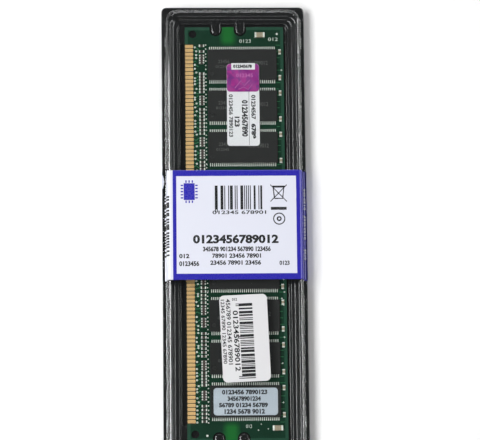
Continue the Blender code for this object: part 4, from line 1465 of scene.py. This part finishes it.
def chip_body(length, width, height, standoff, pin_mark):
    """Chip body standing over the board, with drafted sides and a round dimple."""
    shape = Shape()
    draft = 0.1
    waist = (height + standoff) / 2
    edge = 0.06
    rings = []
    for inset, z in ((draft + edge, standoff), (draft, standoff + edge), (0.0, waist),
                     (draft, height - edge), (draft + edge, height)):
        outline = rounded_rectangle(length / 2 - inset, width / 2 - inset, CHIP_CORNER, 2)
        rings.append((outline, z))
    shape.skin(rings, close_first=True)
    radius = pin_mark / 2
    centre = (-length / 2 + radius + DIMPLE_FROM_SIDE, -width / 2 + radius + DIMPLE_FROM_LEADS)
    hole = arc(*centre, radius, 0, 360, DIMPLE_STEPS)[:-1]
    edges = []
    for outline in (rings[-1][0], hole):
        corners = [shape.shell.verts.new((x, y, height)) for x, y in outline]
        for index, corner in enumerate(corners):
            edges.append(shape.shell.edges.new((corner, corners[(index + 1) % len(corners)])))
    bmesh.ops.triangle_fill(shape.shell, use_beauty=True, edges=edges, normal=(0, 0, 1))
    bowl = arc(*centre, radius - DIMPLE_DEPTH, 0, 360, DIMPLE_STEPS)[:-1]
    shape.skin([(hole, height), (bowl, height - DIMPLE_DEPTH)], close_last=True)
    bmesh.ops.remove_doubles(shape.shell, verts=shape.shell.verts, dist=1e-4)
    bmesh.ops.recalc_face_normals(shape.shell, faces=shape.shell.faces)
    return shape, centre


def chip_leads(board, toe, body_half, waist):
    """Both rows of bent leads of one chip, standing on the board."""
    shape = Shape()
    half_sheet = LEAD_SHEET / 2
    # Out of the body's waist, down in a gull wing, and flat to the toe.
    path = [(body_half - 0.15, waist), (body_half + 0.14, waist), (body_half + 0.26, waist - 0.12),
            (toe - 0.56, half_sheet + 0.1), (toe - 0.46, half_sheet), (toe, half_sheet)]
    outline = shift_path(path, half_sheet) + list(reversed(shift_path(path, -half_sheet)))
    half = board.lead_width / MM / 2
    for x in lead_offsets(board):
        for sign in (1, -1):
            sides = []
            for edge_x in (x - half, x + half):
                sides.append([shape.shell.verts.new((edge_x, sign * y, z)) for y, z in outline])
            count = len(outline)
            for step in range(count):
                after = (step + 1) % count
                shape.shell.faces.new((sides[0][step], sides[0][after], sides[1][after],
                                       sides[1][step]))
            shape.shell.faces.new(sides[0])
            shape.shell.faces.new(list(reversed(sides[1])))
    bmesh.ops.recalc_face_normals(shape.shell, faces=shape.shell.faces)
    return shape


MARK_LIFT = 0.004       # of the laser marks above a chip's face


class MEMORY_PACK_OT_chips(Operator):
    """Build the memory chips on both faces with their leads, dimples and faint marks"""

    bl_idname = "memory_pack.chips"
    bl_label = "Memory chips"

    def execute(self, context):
        board = context.scene.memory_board
        epoxy = shared("epoxy_transfer_moulded", moulded_epoxy, board)
        tin = shared("tin_reflowed", tin_plate)
        polished_shaded = polished_epoxy_painted_shade(board)
        mark = laser_mark()
        low, high = node_box(FRONT_CHIPS[0])
        height = high.z - low.z
        body_half = board.chip_width / MM / 2
        standoff = board.chip_standoff / MM
        toe = (high.y - low.y) / 2
        length = high.x - low.x
        body, dimple = chip_body(length, 2 * body_half, height, standoff, board.pin_mark / MM)
        body = body.mesh("chip_body", CHIP_SMOOTH)
        leads = chip_leads(board, toe, body_half, (height + standoff) / 2)
        leads = leads.mesh("chip_leads", CHIP_SMOOTH)
        # A darker disc on the dimple's floor, painted shade of its hollow.
        flat = Shape()
        flat.ring(*dimple, board.pin_mark / MM / 2 - 0.08, 0.0, height - DIMPLE_DEPTH + 0.005)
        flat = flat.mesh("chip_dimple_shade")
        text_x = -length / 2 + 3.4
        text = Shape()
        print_digits(text, counting(5, 2), (text_x, 0.4), (text_x + 3.6, 1.5))
        print_digits(text, counting(6), (text_x - 0.8, -1.2), (text_x + 3.2, -0.3))
        print_digits(text, counting(9, 4), (1.5, -0.2), (8.2, 1.1))
        text = text.mesh("chip_marks")
        for names, flip in ((FRONT_CHIPS, 0.0), (BACK_CHIPS, math.pi)):
            for name in names:
                low, high = node_box(name)
                base = low.z if not flip else high.z
                place = Vector(((low.x + high.x) / 2, (low.y + high.y) / 2, base)) * MM
                matrix = Matrix.Translation(place) @ Matrix.Rotation(flip, 4, "Y")
                for kind, source, finish in (("body", body, epoxy), ("leads", leads, tin),
                                             ("dimple", flat, polished_shaded), ("marks", text, mark)):
                    mesh = source.copy()
                    if kind == "marks":
                        mesh.transform(Matrix.Translation((0, 0, (height + MARK_LIFT) * MM)))
                    mesh.transform(matrix)
                    add_piece(f"{name}_{kind}", mesh, finish, "module_body",
                              hidden=(name,))
        return {"FINISHED"}


# Runs of single resistors: the first one's place along Y, their count and their pitch.
RESISTOR_RUNS = ((60.5, 2, 1.9), (51.3, 7, 1.0), (39.6, 8, 1.13), (22.4, 5, 1.12),
                 (8.8, 5, 1.12), (-4.2, 5, 1.12), (-18.0, 5, 1.2), (-32.6, 7, 1.2),
                 (-45.0, 5, 0.99), (-55.5, 5, 1.22))


ARRAY_CELLS = 4
ARRAY_INSET = 0.16      # of an array's body inside its ends
ARRAY_CAP = 0.4
ARRAY_CAP_HALF = 0.24
SINGLE_HALF_X = 0.85
SINGLE_HALF_Y = 0.38
SINGLE_HEIGHT = 0.42
SINGLE_CAP = 0.4
END_CAPACITOR_CAP = 0.55
CAP_PROUD = 0.02        # how far tinned ends stand out round a body
BODY_EDGE = 0.03
CAP_EDGE = 0.06
BLOCK_EDGE = 0.05
SPD_LEADS = 4
SPD_LEAD_HALF = 0.15
SPD_INSET = 0.25        # of its body between the lead rows
SPD_EDGE = 0.08


def end_capped(bodies, caps, low, high, axis, cap):
    """A small part between two corners with tinned ends along one axis."""
    inner_low = [place + CAP_PROUD for place in low]
    inner_high = [place - CAP_PROUD for place in high]
    inner_low[axis] = low[axis] + cap / 2
    inner_high[axis] = high[axis] - cap / 2
    bodies.block(inner_low, inner_high, BODY_EDGE, 1)
    first_high = list(high)
    first_high[axis] = low[axis] + cap
    last_low = list(low)
    last_low[axis] = high[axis] - cap
    caps.block(low, first_high, CAP_EDGE, 2)
    caps.block(last_low, high, CAP_EDGE, 2)


class MEMORY_PACK_OT_small_parts(Operator):
    """Build the resistors, capacitors and configuration chip"""

    bl_idname = "memory_pack.small_parts"
    bl_label = "Small parts"

    def execute(self, context):
        board = context.scene.memory_board
        tin = shared("tin_reflowed", tin_plate)
        glaze = resistor_glaze()
        ceramic = capacitor_ceramic(board)
        arrays = [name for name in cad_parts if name.startswith("resistor_array_")]
        for name in sorted(arrays):
            low, high = node_box(name)
            bodies = Shape()
            caps = Shape()
            bodies.block((low.x + ARRAY_INSET, low.y, low.z),
                         (high.x - ARRAY_INSET, high.y, high.z - 0.03), BLOCK_EDGE)
            pitch = (high.y - low.y) / ARRAY_CELLS
            for index in range(ARRAY_CELLS):
                y = low.y + (index + 0.5) * pitch
                for edge_x, inner_x in ((low.x, low.x + ARRAY_CAP),
                                        (high.x - ARRAY_CAP, high.x)):
                    caps.block((edge_x, y - ARRAY_CAP_HALF, low.z),
                               (inner_x, y + ARRAY_CAP_HALF, high.z), BLOCK_EDGE)
            add_shape(f"{name}_body", bodies, glaze, "module_body",
                      PART_SMOOTH, hidden=(name,))
            add_shape(f"{name}_ends", caps, tin, "module_body",
                      PART_SMOOTH, hidden=(name,))

        low, high = node_box("resistor_array_1")
        column_x = (low.x + high.x) / 2
        bodies = Shape()
        caps = Shape()
        for first, count, pitch in RESISTOR_RUNS:
            for index in range(count):
                y = first - index * pitch
                end_capped(bodies, caps, (column_x - SINGLE_HALF_X, y - SINGLE_HALF_Y, low.z),
                           (column_x + SINGLE_HALF_X, y + SINGLE_HALF_Y, low.z + SINGLE_HEIGHT),
                           0, SINGLE_CAP)
        add_shape("single_resistor_bodies", bodies, glaze, "module_body",
                  PART_SMOOTH)
        add_shape("single_resistor_ends", caps, tin, "module_body",
                  PART_SMOOTH)

        for name in sorted(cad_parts):
            if "capacitor" not in name:
                continue
            low, high = node_box(name)
            axis = 0 if name.startswith("end_") else 1
            cap = END_CAPACITOR_CAP if axis == 0 else SINGLE_CAP
            bodies = Shape()
            caps = Shape()
            end_capped(bodies, caps, tuple(low), tuple(high), axis, cap)
            add_shape(f"{name}_body", bodies, ceramic, "module_body",
                      PART_SMOOTH, hidden=(name,))
            add_shape(f"{name}_ends", caps, tin, "module_body",
                      PART_SMOOTH, hidden=(name,))

        low, high = node_box("spd_eeprom")
        bodies = Shape()
        bodies.block((low.x, low.y + SPD_INSET, low.z + 0.08),
                     (high.x, high.y - SPD_INSET, high.z), SPD_EDGE)
        epoxy = shared("epoxy_transfer_moulded", moulded_epoxy, board)
        add_shape("spd_body", bodies, epoxy, "module_body", PART_SMOOTH,
                  hidden=("spd_eeprom",))
        leads = Shape()
        middle_x = (low.x + high.x) / 2
        for index in range(SPD_LEADS):
            x = middle_x + (index - (SPD_LEADS - 1) / 2) * board.lead_pitch / MM * 1.5
            for near, far in ((low.y - 0.2, low.y + 0.3), (high.y - 0.3, high.y + 0.2)):
                leads.block((x - SPD_LEAD_HALF, near, low.z),
                            (x + SPD_LEAD_HALF, far, low.z + 0.15), BODY_EDGE)
        add_shape("spd_leads", leads, tin, "module_body", PART_SMOOTH)
        return {"FINISHED"}


# ---- stage ---------------------------------------------------------------------
SENSOR_WIDTH = 36.0     # millimetres, as the lens is
CLIP_START = 0.01       # metres


def add_light(name, azimuth, elevation, distance, width, height, power):
    """A soft light that faces the pack; azimuth 0 stands at +X, angles in degrees, sizes in m."""
    lamp = bpy.data.lights.new(name, "AREA")
    lamp.shape = "RECTANGLE"
    lamp.size = width
    lamp.size_y = height
    lamp.energy = power
    item = bpy.data.objects.new(name, lamp)
    bpy.context.scene.collection.objects.link(item)
    turn = math.radians(azimuth)
    rise = math.radians(elevation)
    item.location = (distance * math.cos(rise) * math.cos(turn),
                     distance * math.cos(rise) * math.sin(turn), distance * math.sin(rise))
    item.rotation_euler = (-item.location).to_track_quat("-Z", "Y").to_euler()
    return item


class MEMORY_PACK_OT_stage(Operator):
    """Lay the pale floor and place the lights and the camera"""

    bl_idname = "memory_pack.stage"
    bl_label = "Stage"

    def execute(self, context):
        scene = context.scene
        settings = scene.memory_stage
        shape = Shape()
        size = settings.floor_size / MM
        shape.bar(0.0, 0.0, size, size)
        floor = bpy.data.objects.new("floor", shape.mesh("floor"))
        floor.data.materials.append(floor_paper(settings))
        scene.collection.objects.link(floor)

        world = bpy.data.worlds.new("studio")
        world.use_nodes = True
        tree = world.node_tree
        coordinates = add_node(tree, "ShaderNodeTexCoord", "Generated", {})
        split = tree.nodes.new("ShaderNodeSeparateXYZ")
        connect(tree, split, {"Vector": coordinates})
        strength = add_node(tree, "ShaderNodeMapRange", "Result", {
            "Value": split.outputs["Z"], "From Min": 0.1, "From Max": 0.4,
            "To Min": settings.horizon_light, "To Max": settings.world_light})
        connect(tree, tree.nodes["Background"], {"Color": (1.0, 1.0, 1.0, 1.0),
                                                 "Strength": strength})
        scene.world = world
        add_light("key_light", 183, 61, 0.62, 0.42, 0.23, settings.key_power)
        add_light("right_light", 5, 46, 0.70, 0.48, 0.10, settings.fill_power)
        add_light("far_light", 90, 52, 0.75, 0.30, 0.30, settings.fill_power)
        add_light("near_light", 270, 48, 0.75, 0.30, 0.30, settings.fill_power)
        # The card shows only as a bright line in the lid's and the tray's edges.
        card = add_light("edge_card", 6, 40, 0.70, 0.60, 0.28, settings.card_power)
        card.visible_diffuse = False

        low, high = node_box("pcb")
        aim = Vector(((low.x + high.x) / 2 * MM + settings.aim_x, settings.aim_y, high.z * MM))
        turn = (Matrix.Rotation(settings.view_lean, 4, "Y")
                @ Matrix.Rotation(settings.view_tilt, 4, "X")
                @ Matrix.Rotation(settings.view_roll, 4, "Z"))
        lens = bpy.data.cameras.new("camera")
        lens.lens = settings.lens
        lens.sensor_width = SENSOR_WIDTH
        lens.clip_start = CLIP_START
        camera = bpy.data.objects.new("camera", lens)
        scene.collection.objects.link(camera)
        camera.matrix_world = (Matrix.Translation(aim) @ turn
                               @ Matrix.Translation((0, 0, settings.camera_distance)))
        scene.camera = camera
        scene.view_settings.view_transform = "Standard"
        return {"FINISHED"}


# ---- add-on --------------------------------------------------------------------
OPERATORS = (
    MEMORY_PACK_OT_tray,
    MEMORY_PACK_OT_lid,
    MEMORY_PACK_OT_seal,
    MEMORY_PACK_OT_stickers,
    MEMORY_PACK_OT_board,
    MEMORY_PACK_OT_contacts,
    MEMORY_PACK_OT_chips,
    MEMORY_PACK_OT_small_parts,
    MEMORY_PACK_OT_stage,
)
SETTINGS = (
    ("memory_pack", PackSettings),
    ("memory_label", LabelSettings),
    ("memory_board", BoardSettings),
    ("memory_stage", StageSettings),
)


class MEMORY_PACK_PT_panel(Panel):
    """Sizes, colours and the build steps"""

    bl_idname = "MEMORY_PACK_PT_panel"
    bl_label = "Memory Pack"
    bl_space_type = "VIEW_3D"
    bl_region_type = "UI"
    bl_category = "Memory Pack"

    def draw(self, context):
        layout = self.layout
        for operator in OPERATORS:
            layout.operator(operator.bl_idname)
        for name, kind in SETTINGS:
            box = layout.box()
            box.label(text=kind.__doc__.strip("."))
            for key in kind.__annotations__:
                box.prop(getattr(context.scene, name), key)


CLASSES = tuple(kind for _, kind in SETTINGS) + OPERATORS + (MEMORY_PACK_PT_panel,)


def register():
    """Register the classes and hang the settings on the scene."""
    for kind in CLASSES:
        bpy.utils.register_class(kind)
    for name, kind in SETTINGS:
        setattr(bpy.types.Scene, name, PointerProperty(type=kind))


def unregister():
    """Take the settings and classes away again."""
    for name, _ in reversed(SETTINGS):
        delattr(bpy.types.Scene, name)
    for kind in reversed(CLASSES):
        bpy.utils.unregister_class(kind)


def main():
    """Build every piece and the stage."""
    register()
    bpy.ops.memory_pack.tray()
    bpy.ops.memory_pack.lid()
    bpy.ops.memory_pack.seal()
    bpy.ops.memory_pack.stickers()
    bpy.ops.memory_pack.board()
    bpy.ops.memory_pack.contacts()
    bpy.ops.memory_pack.chips()
    bpy.ops.memory_pack.small_parts()
    bpy.ops.memory_pack.stage()


if __name__ == "__main__":
    main()
